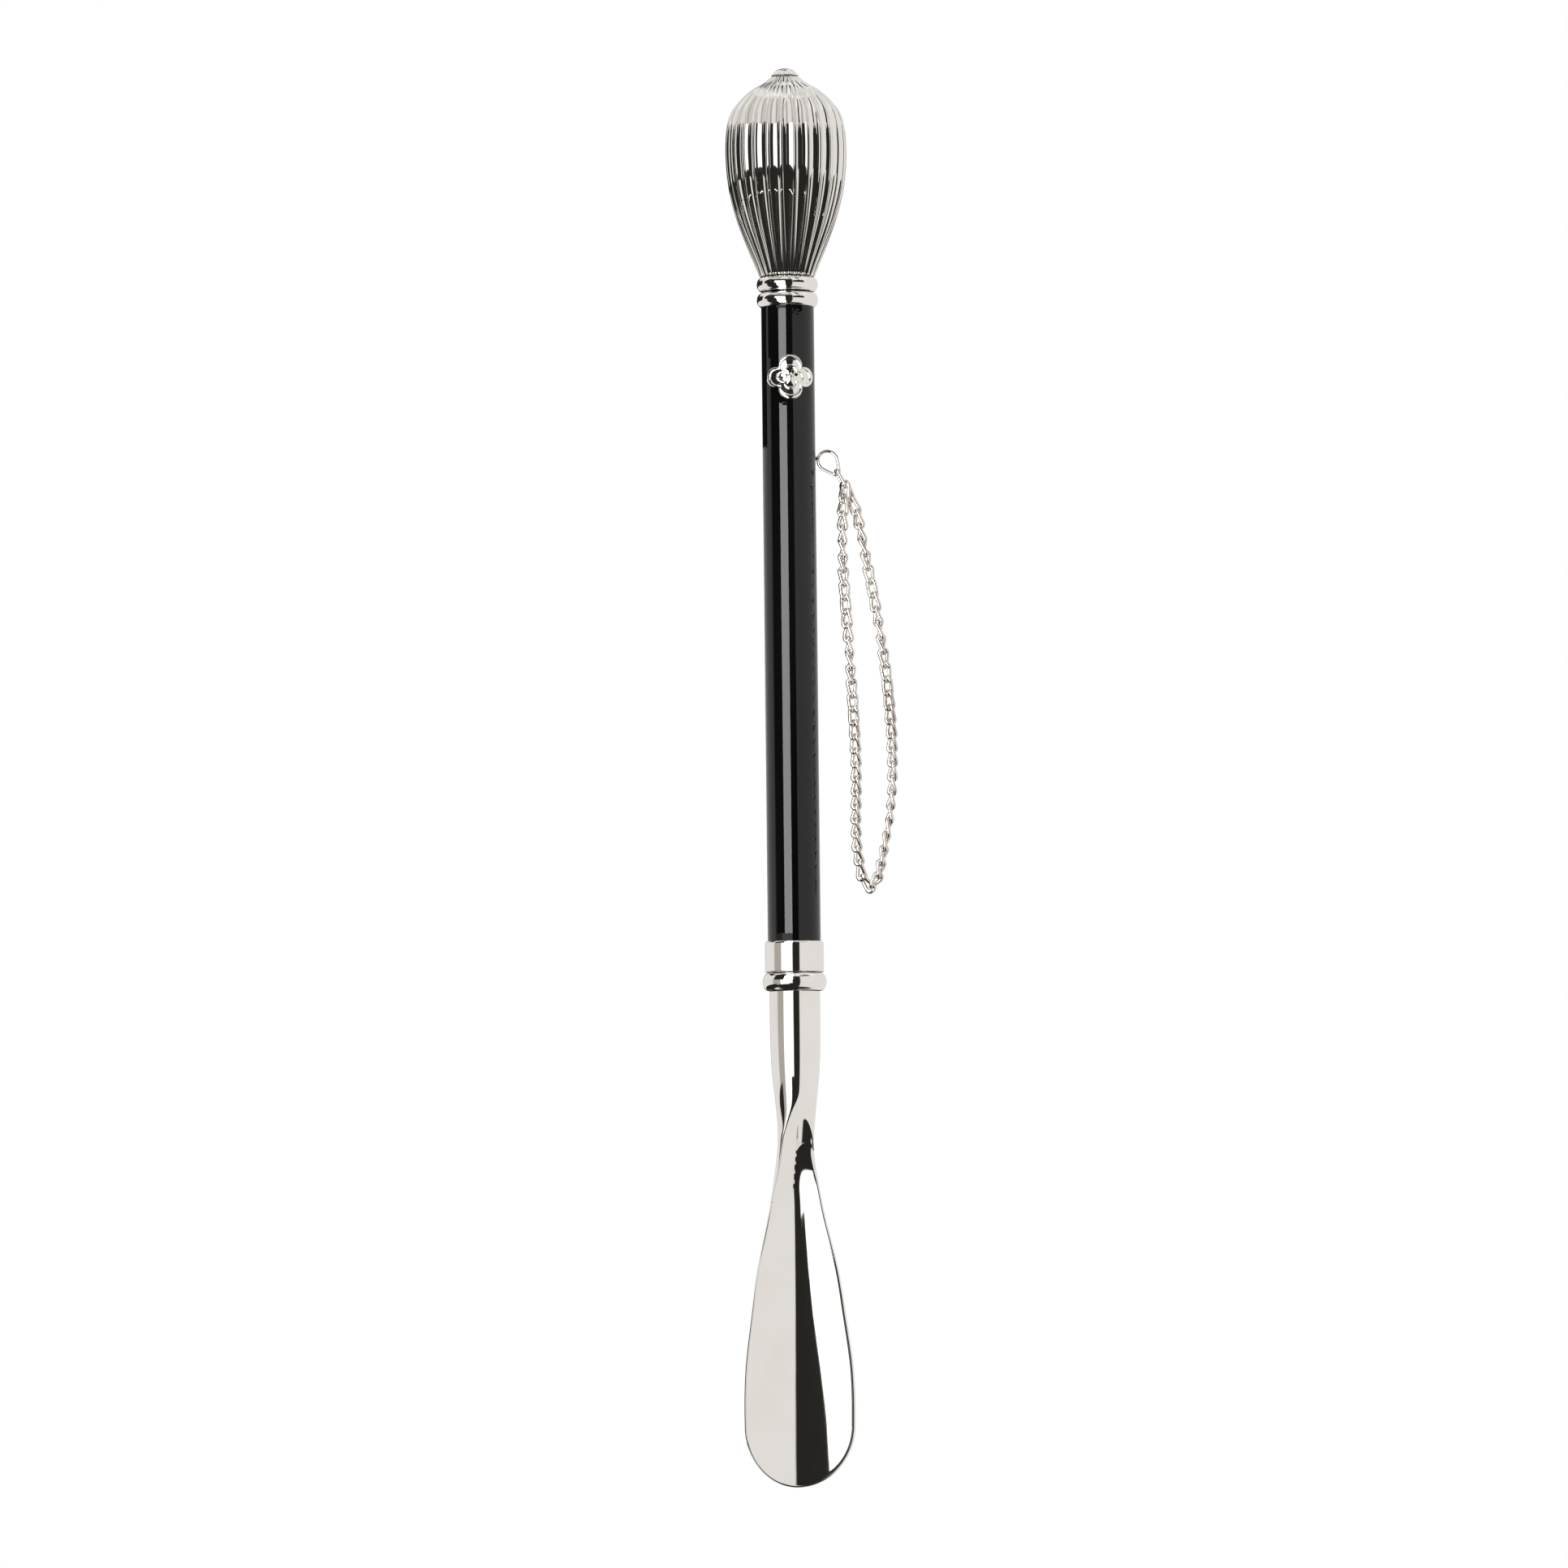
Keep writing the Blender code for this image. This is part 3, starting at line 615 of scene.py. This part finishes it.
# half width of the flat bottom of the dish
BOWL_CURVE = smooth_curve([(DISH_TOP, 4.2), (100, 4.3), (60, 7.6), (25, 12.2), (0, 13.5)])


def blade_half_width(level):
    if level <= TIP_HEIGHT:
        drop = 1 - level / TIP_HEIGHT
        return BLADE_HALF_WIDTH * math.sqrt(max(1 - drop * drop, 0.0))
    return OUTLINE_CURVE(level)


def blade_back(level):
    """How far back the middle of the blade's back stands."""
    return between(6.7, 5.1, smooth_step((HOLLOW_TOP - level) / 100.0))


def sheet(x, level, half):
    """Middle of the dished sheet at x, and half of its thickness, which runs out at the rim."""
    bowl = BOWL_CURVE(level)
    slope = BLADE_SLOPE * smooth_step((DISH_TOP - level) / DISH_EASE)
    middle = blade_back(level) - BLADE_WALL / 2 - slope * (math.sqrt(x**2 + bowl**2) - bowl)
    if level < TIP_HEIGHT:
        inwards = 1 - math.hypot(x / BLADE_HALF_WIDTH, 1 - level / TIP_HEIGHT)
        inwards *= (BLADE_HALF_WIDTH + TIP_HEIGHT) / 2
    else:
        inwards = half - abs(x)
    edge = between(*BLADE_EDGES, smooth_step((x / BLADE_HALF_WIDTH + 1) / 2))
    outwards = 1 - min(max(inwards / edge, 0.0), 1.0)
    return middle, BLADE_WALL / 2 * math.sqrt(1 - outwards**2)


def neck_cut(x, level, half):
    """How far back the neck is cut: a slope that faces right, and a deeper hollow on the right."""
    slope = SLOPE_CURVE(level) + LEFT_SLOPE * (x - half)
    crown = HOLLOW_TOP - HOLLOW_CROWN * ((x - HOLLOW_MIDDLE) / HOLLOW_MIDDLE) ** 2
    hollow = HOLLOW_EDGE + HOLLOW_SLOPE * (crown - level)
    hollow -= HOLLOW_LEFT_SLOPE * max(HOLLOW_LEFT - x, 0.0)
    return soft_max(slope, hollow, 0.3)


def blade_section(level, around):
    """Outline at one level, from the left rim over the back to the right rim and over the front."""
    half = blade_half_width(level)
    round_left = smooth_step((level - NECK_END) / (ROUND_LEFT - NECK_END))
    round_right = smooth_step((level - ROUND_RIGHT[0]) / (ROUND_RIGHT[1] - ROUND_RIGHT[0]))
    turn = BLADE_TURN * smooth_step((NECK_TOP - level) / TURN_HEIGHT)
    section = []
    for i in range(around):
        place = 2 * math.pi * i / around - math.pi / 2
        x = half * math.sin(place)
        middle, thick = sheet(x, level, half)
        share = between(round_left, round_right, smooth_step((x / max(half, 0.01) + 1) / 2))
        rod = math.sqrt(max(half**2 - x**2, 0.0))
        y = between(middle + thick, rod, share)
        if i > around // 2:
            stem = (1 - share) * middle - rod
            y = min(soft_max(stem, neck_cut(x, level, half), 0.7), y - 2 * thick)
        across = x * math.cos(turn) - y * math.sin(turn)
        back = x * math.sin(turn) + y * math.cos(turn)
        section.append((across, back, level))
    return section


def make_blade():
    """Cast stem and blade in one, bored at the top for its stud."""
    around = 168
    levels = [STEM_TOP, STEM_TOP - 0.2, STEM_TOP - 0.8]
    levels += [STEM_TOP - 1.5 * i for i in range(1, int((STEM_TOP - FINE_TOP) / 1.5))]
    levels += [FINE_TOP - 0.4 * i for i in range(int((FINE_TOP - NECK_END) / 0.4))]
    levels += [NECK_END - 0.8 * i for i in range(int((NECK_END - TIP_HEIGHT) / 0.8))]
    levels += [TIP_HEIGHT * (1 - math.sin(math.radians(a))) for a in range(0, 90, 2)]
    levels += [0.01]
    vertices = []
    for level in (low("blade_stud").z - BORE_SPARE, STEM_TOP):
        for i in range(around):
            place = 2 * math.pi * i / around - math.pi / 2
            vertices.append((ROD_BORE * math.sin(place), ROD_BORE * math.cos(place), level))
    for level in levels:
        vertices += blade_section(level, around)
    rows = len(levels) + 2
    faces = [tuple(range(around)), tuple(range((rows - 1) * around, rows * around))]
    for row in range(rows - 1):
        faces += ring_faces(row * around, (row + 1) * around, around)
    return piece("blade", vertices, faces, SILVER, "shoehorn_blade", sharp=60)


# ---------------------------------------------------------------- screw eye and chain

EYE_WIRE = 0.55                 # radius
EYE_RADIUS = 3.45
EYE_TIP_RADIUS = 1.3
EYE_SPREAD = 4.75               # between the centres of the round part and of the tip
EYE_LEAN = math.radians(37)
SHANK_LEVEL = 367.7
SHANK_END = 3.0                 # how near the shaft's axis the screw reaches
SHANK_RADIUS = 0.75
THREAD_DEPTH = 0.18
THREAD_PITCH = 0.7
PLAIN_SHANK = 1.4               # length without thread next to the eye
THREAD_RUNOUT = 0.5
END_LEAN = math.radians(30)
END_HALF_LENGTH = 3.3
END_HALF_WIDTH = 3.2
END_CORNER = 1.1
WIRE = 1.4                      # diameter
LINK_HALF_WIDTH = 1.49
LINK_TWIST = math.radians(45)   # from the middle of a link to either end
LINK_REACH = (WIRE + 0.03) / 2   # from a meeting point to the wire's middle
SHARP_BEND = math.radians(50)
RUN_GAP = 0.34
HOOK_REACH = EYE_WIRE + RUN_GAP + WIRE / 2
BOTTOM_LINK = 5.0
# how far each strand has twisted about its own line, by link number
LEFT_POINTS = [(1, -15), (3, -50), (5, -98), (7, -148), (9, -188)]
LEFT_POINTS += [(12, -256), (14, -310), (16, -352), (19, -392), (30, -403)]
LEFT_TWIST = smooth_curve(LEFT_POINTS)
RIGHT_POINTS = [(1, 0), (3, -48), (5, -104), (7, -160), (9, -212)]
RIGHT_POINTS += [(11, -275), (13, -328), (15, -368), (20, -412), (28, -487)]
RIGHT_TWIST = smooth_curve(RIGHT_POINTS)


JOINTS = {j["name"]: j for j in frame["joints"]}


def joint_point(name):
    return Vector(JOINTS[name]["pos_m"]) / MM - AXIS


def leaning(angle):
    return Vector((math.sin(angle), 0, -math.cos(angle)))


EYE_HOOK = joint_point("chain_sway")


def make_screw_eye():
    """An egg-shaped eye, and the threaded shank that holds it in the shaft."""
    down = leaning(EYE_LEAN)
    across = Vector((down.z, 0, -down.x))
    tip_centre = EYE_HOOK - down * EYE_TIP_RADIUS
    ring_centre = tip_centre - down * EYE_SPREAD
    touch = math.acos((EYE_RADIUS - EYE_TIP_RADIUS) / EYE_SPREAD)
    arcs = (
        (ring_centre, EYE_RADIUS, touch, 2 * math.pi - touch, 40),
        (tip_centre, EYE_TIP_RADIUS, -touch, touch, 16),
    )
    curves = []
    for centre, radius, first, last, steps in arcs:
        curve = []
        for i in range(steps + 1):
            turn = between(first, last, i / steps)
            curve.append(centre + radius * (down * math.cos(turn) + across * math.sin(turn)))
        curves.append(curve)
    points = []
    for curve, following in (curves, reversed(curves)):
        points += curve
        points += [curve[-1].lerp(following[0], i / 6) for i in range(1, 6)]
    vertices, faces = wire_loop(points, EYE_WIRE, 16)
    piece("eye_ring", vertices, faces, CHAIN_METAL, "screw_eye", sharp=60)

    rise = SHANK_LEVEL - ring_centre.z
    start = ring_centre.x - math.sqrt(EYE_RADIUS**2 - rise**2)
    sides, steps = 20, 60
    vertices, faces = [], []
    for i in range(steps + 1):
        x = between(start, SHANK_END, i / steps)
        depth = THREAD_DEPTH * smooth_step((start - PLAIN_SHANK - x) / THREAD_RUNOUT)
        for s in range(sides):
            turn = 2 * math.pi * s / sides
            thread = 0.5 + 0.5 * math.cos(turn - 2 * math.pi * x / THREAD_PITCH)
            radius = SHANK_RADIUS - depth * thread
            vertices.append((x, radius * math.cos(turn), SHANK_LEVEL + radius * math.sin(turn)))
    for i in range(steps):
        faces += ring_faces(i * sides, (i + 1) * sides, sides)
    faces += [tuple(range(sides)), tuple(range(steps * sides, (steps + 1) * sides))]
    piece("eye_shank", vertices, faces, CHAIN_METAL, "screw_eye", sharp=60)


def make_end_link():
    down = leaning(END_LEAN)
    middle = EYE_HOOK + down * (END_HALF_LENGTH - 2 * EYE_WIRE - RUN_GAP)
    points = [
        middle + down * a + Vector((0, b, 0))
        for a, b in oval(END_HALF_LENGTH, END_HALF_WIDTH, END_CORNER, 8)
    ]
    vertices, faces = wire_loop(points, EYE_WIRE, 16)
    node = "chain_end_link"
    return piece("end_link", vertices, faces, CHAIN_METAL, node, body=node)


def link_line(start, end, reach_before, reach_after, roll, arc_steps):
    """Centre line of one curb link, which reaches a little past its two meeting points."""
    along = (end - start).normalized()
    across = along.cross(Vector((0, 1, 0))).normalized()
    depth = across.cross(along)
    first = start - along * reach_before
    last = end + along * reach_after
    middle = (first + last) / 2
    half = (last - first).length / 2
    points = []
    for a, b in oval(half, LINK_HALF_WIDTH, LINK_HALF_WIDTH, arc_steps):
        turn = roll + LINK_TWIST * a / half
        points.append(middle + along * a + across * b * math.cos(turn) + depth * b * math.sin(turn))
    return points


def reaches(before, at, after):
    """How far the first and the second link reach past their meeting point.

    Where the chain bends, the second link's end moves into the middle of the first one's opening.
    """
    bend = (at - before).angle(after - at)
    first = between(LINK_REACH, LINK_HALF_WIDTH, smooth_step(bend / SHARP_BEND))
    return first, 2 * LINK_REACH - first


def halved(points):
    line = [points[0]]
    for upper, lower in zip(points, points[1:]):
        line += [(upper + lower) / 2, lower]
    return line


def hinge_points(side):
    """Meeting points between the pairs of one strand, from the end link down."""
    if side == "left":
        names = ["chain_swing"] + [f"left_turn_{n:02d}" for n in range(2, 16)]
    else:
        names = ["chain_swing_right", "loop_open"] + [f"right_turn_{n:02d}" for n in range(3, 15)]
    return [joint_point(n) for n in names]


def make_chain():
    """Both strands, two links to a pair; the two lowest links of the left one join the strands."""
    left, right = hinge_points("left"), hinge_points("right")
    first = left[-1]
    node = f"chain_pair_left_{len(left):02d}"
    last = Vector((low(node).x + high(node).x - first.x, 0, first.z))
    sag = math.sqrt(BOTTOM_LINK**2 - (last.x - first.x) ** 2 / 4)
    left_line = [*halved(left), (first + last) / 2 - Vector((0, 0, sag)), last]
    right_line = halved([*right, last])
    strands = (
        ("left", left_line, right_line[-2], LEFT_TWIST, 0),
        ("right", right_line, left_line[-2], RIGHT_TWIST, 1),
    )
    for side, line, beyond, twist, last_hook in strands:
        meetings = [reaches(a, b, c) for a, b, c in zip(line, line[1:], [*line[2:], beyond])]
        for link, (upper, lower) in enumerate(zip(line, line[1:]), 1):
            before = meetings[link - 2][1] if link > 1 else HOOK_REACH
            after = meetings[link - 1][last_hook if lower is last else 0]
            roll = math.radians(twist(link))
            points = link_line(upper, lower, before, after, roll, 8)
            vertices, faces = wire_loop(points, WIRE / 2, 12)
            number = (link + 1) // 2
            name, body = f"link_{side}_{link:02d}", f"chain_{side}_{number:02d}"
            replaced = f"chain_pair_{side}_{number:02d}"
            piece(name, vertices, faces, CHAIN_METAL, replaced, body=body, sharp=80)


# ---------------------------------------------------------------- stage


DARK = (0.02, 0.019, 0.017)
PALE = (0.80, 0.775, 0.755)
GREY = (0.42, 0.40, 0.37)
CLOUD = (0.62, 0.60, 0.57)
BOX_LIGHT = (1.35, 1.35, 1.33)
SHAFT_LIGHT = (6.5, 6.5, 6.4)    # lacquer mirrors only a small part of what it sees


def fill_ramp(ramp, stops):
    """Colour stops by turn in degrees, -180 to 180."""
    elements = ramp.color_ramp.elements
    for i, (turn, colour) in enumerate(stops):
        place = (turn + 180) / 360
        element = elements[i] if i < 2 else elements.new(place)
        element.position = place
        element.color = (*colour, 1)


def make_world():
    """Studio surroundings by direction, with turn 0 at the front and positive to the right.

    A soft box stands front left in a dark frame, a dark gap is at the camera, and the rest is pale.
    """
    world = bpy.data.worlds.new("studio")
    bpy.context.scene.world = world
    world.use_nodes = True
    nodes = Nodes(world.node_tree)
    world.node_tree.nodes.clear()
    output = nodes.add("ShaderNodeOutputWorld")
    direction = nodes.add("ShaderNodeTexCoord").outputs["Generated"]
    split = nodes.add("ShaderNodeSeparateXYZ")
    nodes.link(direction, split.inputs[0])
    x, y, z = split.outputs
    turn = nodes.math("ARCTAN2", x, nodes.math("MULTIPLY", y, -1.0))
    elevation = nodes.math("ARCSINE", z)
    part = nodes.range(turn, -math.pi, math.pi, 0.0, 1.0)

    def walls(front_left, box):
        """The surroundings at eye level, with one colour left of the box and one for the box."""
        ramp = nodes.add("ShaderNodeValToRGB")
        nodes.link(part, ramp.inputs[0])
        stops = [(-180, DARK), (-172, DARK), (-168, PALE), (-94, PALE)]
        stops += [(-89, front_left), (-60, front_left), (-57, box), (-14, box)]
        stops += [(-12, DARK), (14, DARK), (17, PALE), (168, PALE), (172, DARK)]
        fill_ramp(ramp, stops)
        return ramp.outputs[0]

    def rise(first, last):
        """0 to 1 from the first elevation to the last, in degrees."""
        first, last = math.radians(first), math.radians(last)
        return nodes.range(elevation, first, last, 0.0, 1.0, smooth=True)

    out_of_box = nodes.math("MAXIMUM", rise(20, 25), rise(-20, -25))
    colour = nodes.mix(out_of_box, walls(GREY, BOX_LIGHT), walls(DARK, DARK))
    wave = nodes.math("SINE", nodes.math("MULTIPLY", turn, 5.0))
    waves = nodes.range(wave, -1.0, 1.0, 0.0, 1.0)
    overhead = nodes.mix(waves, (0.66, 0.65, 0.63, 1), (0.95, 0.94, 0.92, 1))
    colour = nodes.mix(rise(34, 46), colour, overhead)
    colour = nodes.mix(rise(-50, -62), colour, (*DARK, 1))
    aside = nodes.math("ABSOLUTE", turn)
    behind = nodes.range(aside, math.radians(152), math.radians(164), 0.0, 1.0)
    above = nodes.math("MULTIPLY", rise(52, 60), rise(86, 80))
    colour = nodes.mix(nodes.math("MULTIPLY", behind, above), colour, (*DARK, 1))
    seen = nodes.add("ShaderNodeLightPath").outputs["Is Camera Ray"]
    colour = nodes.mix(seen, colour, (1.0, 1.0, 1.0, 1))
    background = nodes.add("ShaderNodeBackground")
    nodes.link(colour, background.inputs["Color"])
    nodes.link(background.outputs[0], output.inputs["Surface"])


def stage_card(name, vertices, faces, colour):
    """A card that only reflections see, clear from behind."""
    mesh = bpy.data.meshes.new(name)
    mesh.from_pydata([(AXIS + Vector(v)) * MM for v in vertices], [], faces)
    card = bpy.data.objects.new(name, mesh)
    bpy.context.scene.collection.objects.link(card)
    made = bpy.data.materials.new(name)
    made.use_nodes = True
    nodes = Nodes(made.node_tree)
    made.node_tree.nodes.clear()
    glow = nodes.add("ShaderNodeEmission")
    glow.inputs["Color"].default_value = (*colour, 1)
    shown = nodes.add("ShaderNodeMixShader")
    nodes.link(nodes.add("ShaderNodeNewGeometry").outputs["Backfacing"], shown.inputs[0])
    nodes.link(glow.outputs[0], shown.inputs[1])
    nodes.link(nodes.add("ShaderNodeBsdfTransparent").outputs[0], shown.inputs[2])
    nodes.link(shown.outputs[0], nodes.add("ShaderNodeOutputMaterial").inputs["Surface"])
    mesh.materials.append(made)
    for kind in ("camera", "diffuse", "shadow", "transmission"):
        setattr(card, f"visible_{kind}", False)


SHAFT_CARDS = 120.0             # distances from the axis
KNOB_CARDS = 350.0
BLADE_CARD = 250.0
SIDE_CARD = 260.0
RIM_CARD = -18.0
SLEEVE_SPARE = 8.0              # the shaft's cards end this far above the ferrule's sleeve
BEAD_SPARE = 10.0


def make_card(name, first, last, distance, base, top, colour, ripple=0.0):
    """A curved upright card that faces the axis, from one turn to another in degrees.

    A ripple makes its top edge uneven, by up to that height.
    """
    steps = 48 if ripple else 12
    vertices = []
    for i in range(steps + 1):
        turn = math.radians(between(first, last, i / steps))
        wave = ripple * (math.sin(11 * turn) + math.sin(27 * turn + 1)) / 2
        for level in (base, top + wave):
            vertices.append((distance * math.sin(turn), -distance * math.cos(turn), level))
    faces = [(2 * i, 2 * i + 1, 2 * i + 3, 2 * i + 2) for i in range(steps)]
    stage_card(name, vertices, faces, colour)


def make_shelf(name, first, last, level, inner, outer, colour, upwards):
    """A flat ring card around the axis that shows its colour only upwards or only downwards."""
    steps = 24
    vertices = []
    for i in range(steps + 1):
        turn = math.radians(between(first, last, i / steps))
        for radius in (inner, outer):
            vertices.append((radius * math.sin(turn), -radius * math.cos(turn), level))
    order = (0, 1, 3, 2) if upwards else (0, 2, 3, 1)
    faces = [tuple(2 * i + k for k in order) for i in range(steps)]
    stage_card(name, vertices, faces, colour)


def make_cards():
    """What the metal and the lacquer mirror: dark flags, one light, and flat rings at the knob."""
    base, top = high("ferrule_sleeve").z + SLEEVE_SPARE, high("shaft").z + BEAD_SPARE
    make_card("shaft_flag", -84, -44, SHAFT_CARDS, base, top, DARK)
    make_card("shaft_light", -44, -12, SHAFT_CARDS + 1, base, top, SHAFT_LIGHT)
    # the badge's flat ground mirrors this flag, and its borders the light above and below it
    base, top = low("clover_badge").z + 9, high("clover_badge").z + 5
    make_card("badge_flag", -44, -12, SHAFT_CARDS - 1, base, top, DARK)
    knob_base, knob_top = low("knob_shell").z, high("knob_shell").z
    make_card("knob_flag_right", 16, 62, KNOB_CARDS, knob_top - 50, knob_top + 95, DARK, 45)
    make_card("knob_flag_left", -176, -112, KNOB_CARDS, knob_base - 30, knob_top + 60, DARK, 30)
    make_card("knob_flag_far_left", -100, -54, KNOB_CARDS, knob_base + 5, knob_top + 95, DARK, 45)
    floor = ((-116, -78, DARK), (-78, -58, PALE), (-58, 56, DARK), (78, 100, DARK))
    for number, (first, last, colour) in enumerate(floor, 1):
        make_shelf(f"knob_floor_{number}", first, last, knob_base - 1, 11, 900, colour, True)
    ceiling = ((-92, -50, CLOUD), (-50, -36, GREY), (-36, 0, PALE), (0, 14, GREY), (36, 48, DARK))
    for number, (first, last, colour) in enumerate(ceiling, 1):
        make_shelf(f"knob_ceiling_{number}", first, last, knob_top + 16, 20, 110, colour, False)
    make_card("blade_flag", -24, -10, BLADE_CARD, -80, 112, DARK)
    make_card("side_flag", -166, -75, SIDE_CARD, -90, 112, DARK)
    # a strip that follows the blade's left rim
    vertices = []
    levels = [-8, 2, 8, *range(16, 116, 6)]
    for level in levels:
        edge = -blade_half_width(max(level, 12.0))
        vertices += [(edge - 3.8, RIM_CARD, level), (edge - 34, RIM_CARD, level)]
    faces = [(2 * i, 2 * i + 2, 2 * i + 3, 2 * i + 1) for i in range(len(levels) - 1)]
    stage_card("rim_flag", vertices, faces, DARK)


FLOOR_REACH = 12.0              # in metres, as the level
FLOOR_LEVEL = -0.35


def make_floor():
    mesh = bpy.data.meshes.new("floor")
    corners = ((-1, -1), (1, -1), (1, 1), (-1, 1))
    vertices = [(x * FLOOR_REACH, y * FLOOR_REACH, FLOOR_LEVEL) for x, y in corners]
    mesh.from_pydata(vertices, [], [(0, 1, 2, 3)])
    floor = bpy.data.objects.new("floor", mesh)
    bpy.context.scene.collection.objects.link(floor)
    made, _, shader, _ = new_material("pale_floor")
    shader.inputs["Base Color"].default_value = (0.9, 0.9, 0.89, 1)
    shader.inputs["Roughness"].default_value = 0.8
    shader.inputs["Emission Color"].default_value = (1, 1, 1, 1)
    shader.inputs["Emission Strength"].default_value = 0.3
    mesh.materials.append(made)
    floor.visible_glossy = False


CAMERA_TURN = math.radians(-4.5)
CAMERA_RISE = math.radians(-3.5)
CAMERA_ROLL = math.radians(-0.62)
CAMERA_DISTANCE = 4.0           # in metres, as the frame's height at the target
FRAME_HEIGHT = 0.5602
SENSOR = 36.0
TARGET = AXIS * MM + Vector((-0.0031, 0.0, 0.2509))


def make_camera():
    camera = bpy.data.objects.new("camera", bpy.data.cameras.new("camera"))
    bpy.context.scene.collection.objects.link(camera)
    back = Vector(
        (
            math.sin(CAMERA_TURN) * math.cos(CAMERA_RISE),
            -math.cos(CAMERA_TURN) * math.cos(CAMERA_RISE),
            math.sin(CAMERA_RISE),
        )
    )
    camera.location = TARGET + back * CAMERA_DISTANCE
    aim = (-back).to_track_quat("-Z", "Y").to_matrix()
    camera.rotation_euler = (aim @ Matrix.Rotation(CAMERA_ROLL, 3, "Z")).to_euler()
    camera.data.sensor_width = SENSOR
    camera.data.lens = SENSOR * CAMERA_DISTANCE / FRAME_HEIGHT
    camera.data.clip_end = 20.0
    bpy.context.scene.camera = camera


def carry_over(node, finish):
    """A CAD node that stays, with its procedural material."""
    mesh = frame["nodes"][node].data
    mesh.materials.clear()
    mesh.materials.append(finish)


make_finial()
make_knob()
make_bead("upper_bead", "upper_bead_ring", KNOB_BEAD_WAIST)
make_bead("lower_bead", "lower_bead_ring", KNOB_BEAD_WAIST)
make_shaft()
make_badge()
make_ferrule()
make_bead("ferrule_bead", "ferrule_bead_ring", FERRULE_BEAD_WAIST)
make_blade()
make_screw_eye()
make_end_link()
make_chain()
carry_over("tie_rod", STEEL)
carry_over("blade_stud", STEEL)
carry_over("knob_centring_bush", BRASS)

make_world()
make_cards()
make_floor()
make_camera()
bpy.context.scene.view_settings.view_transform = "Standard"
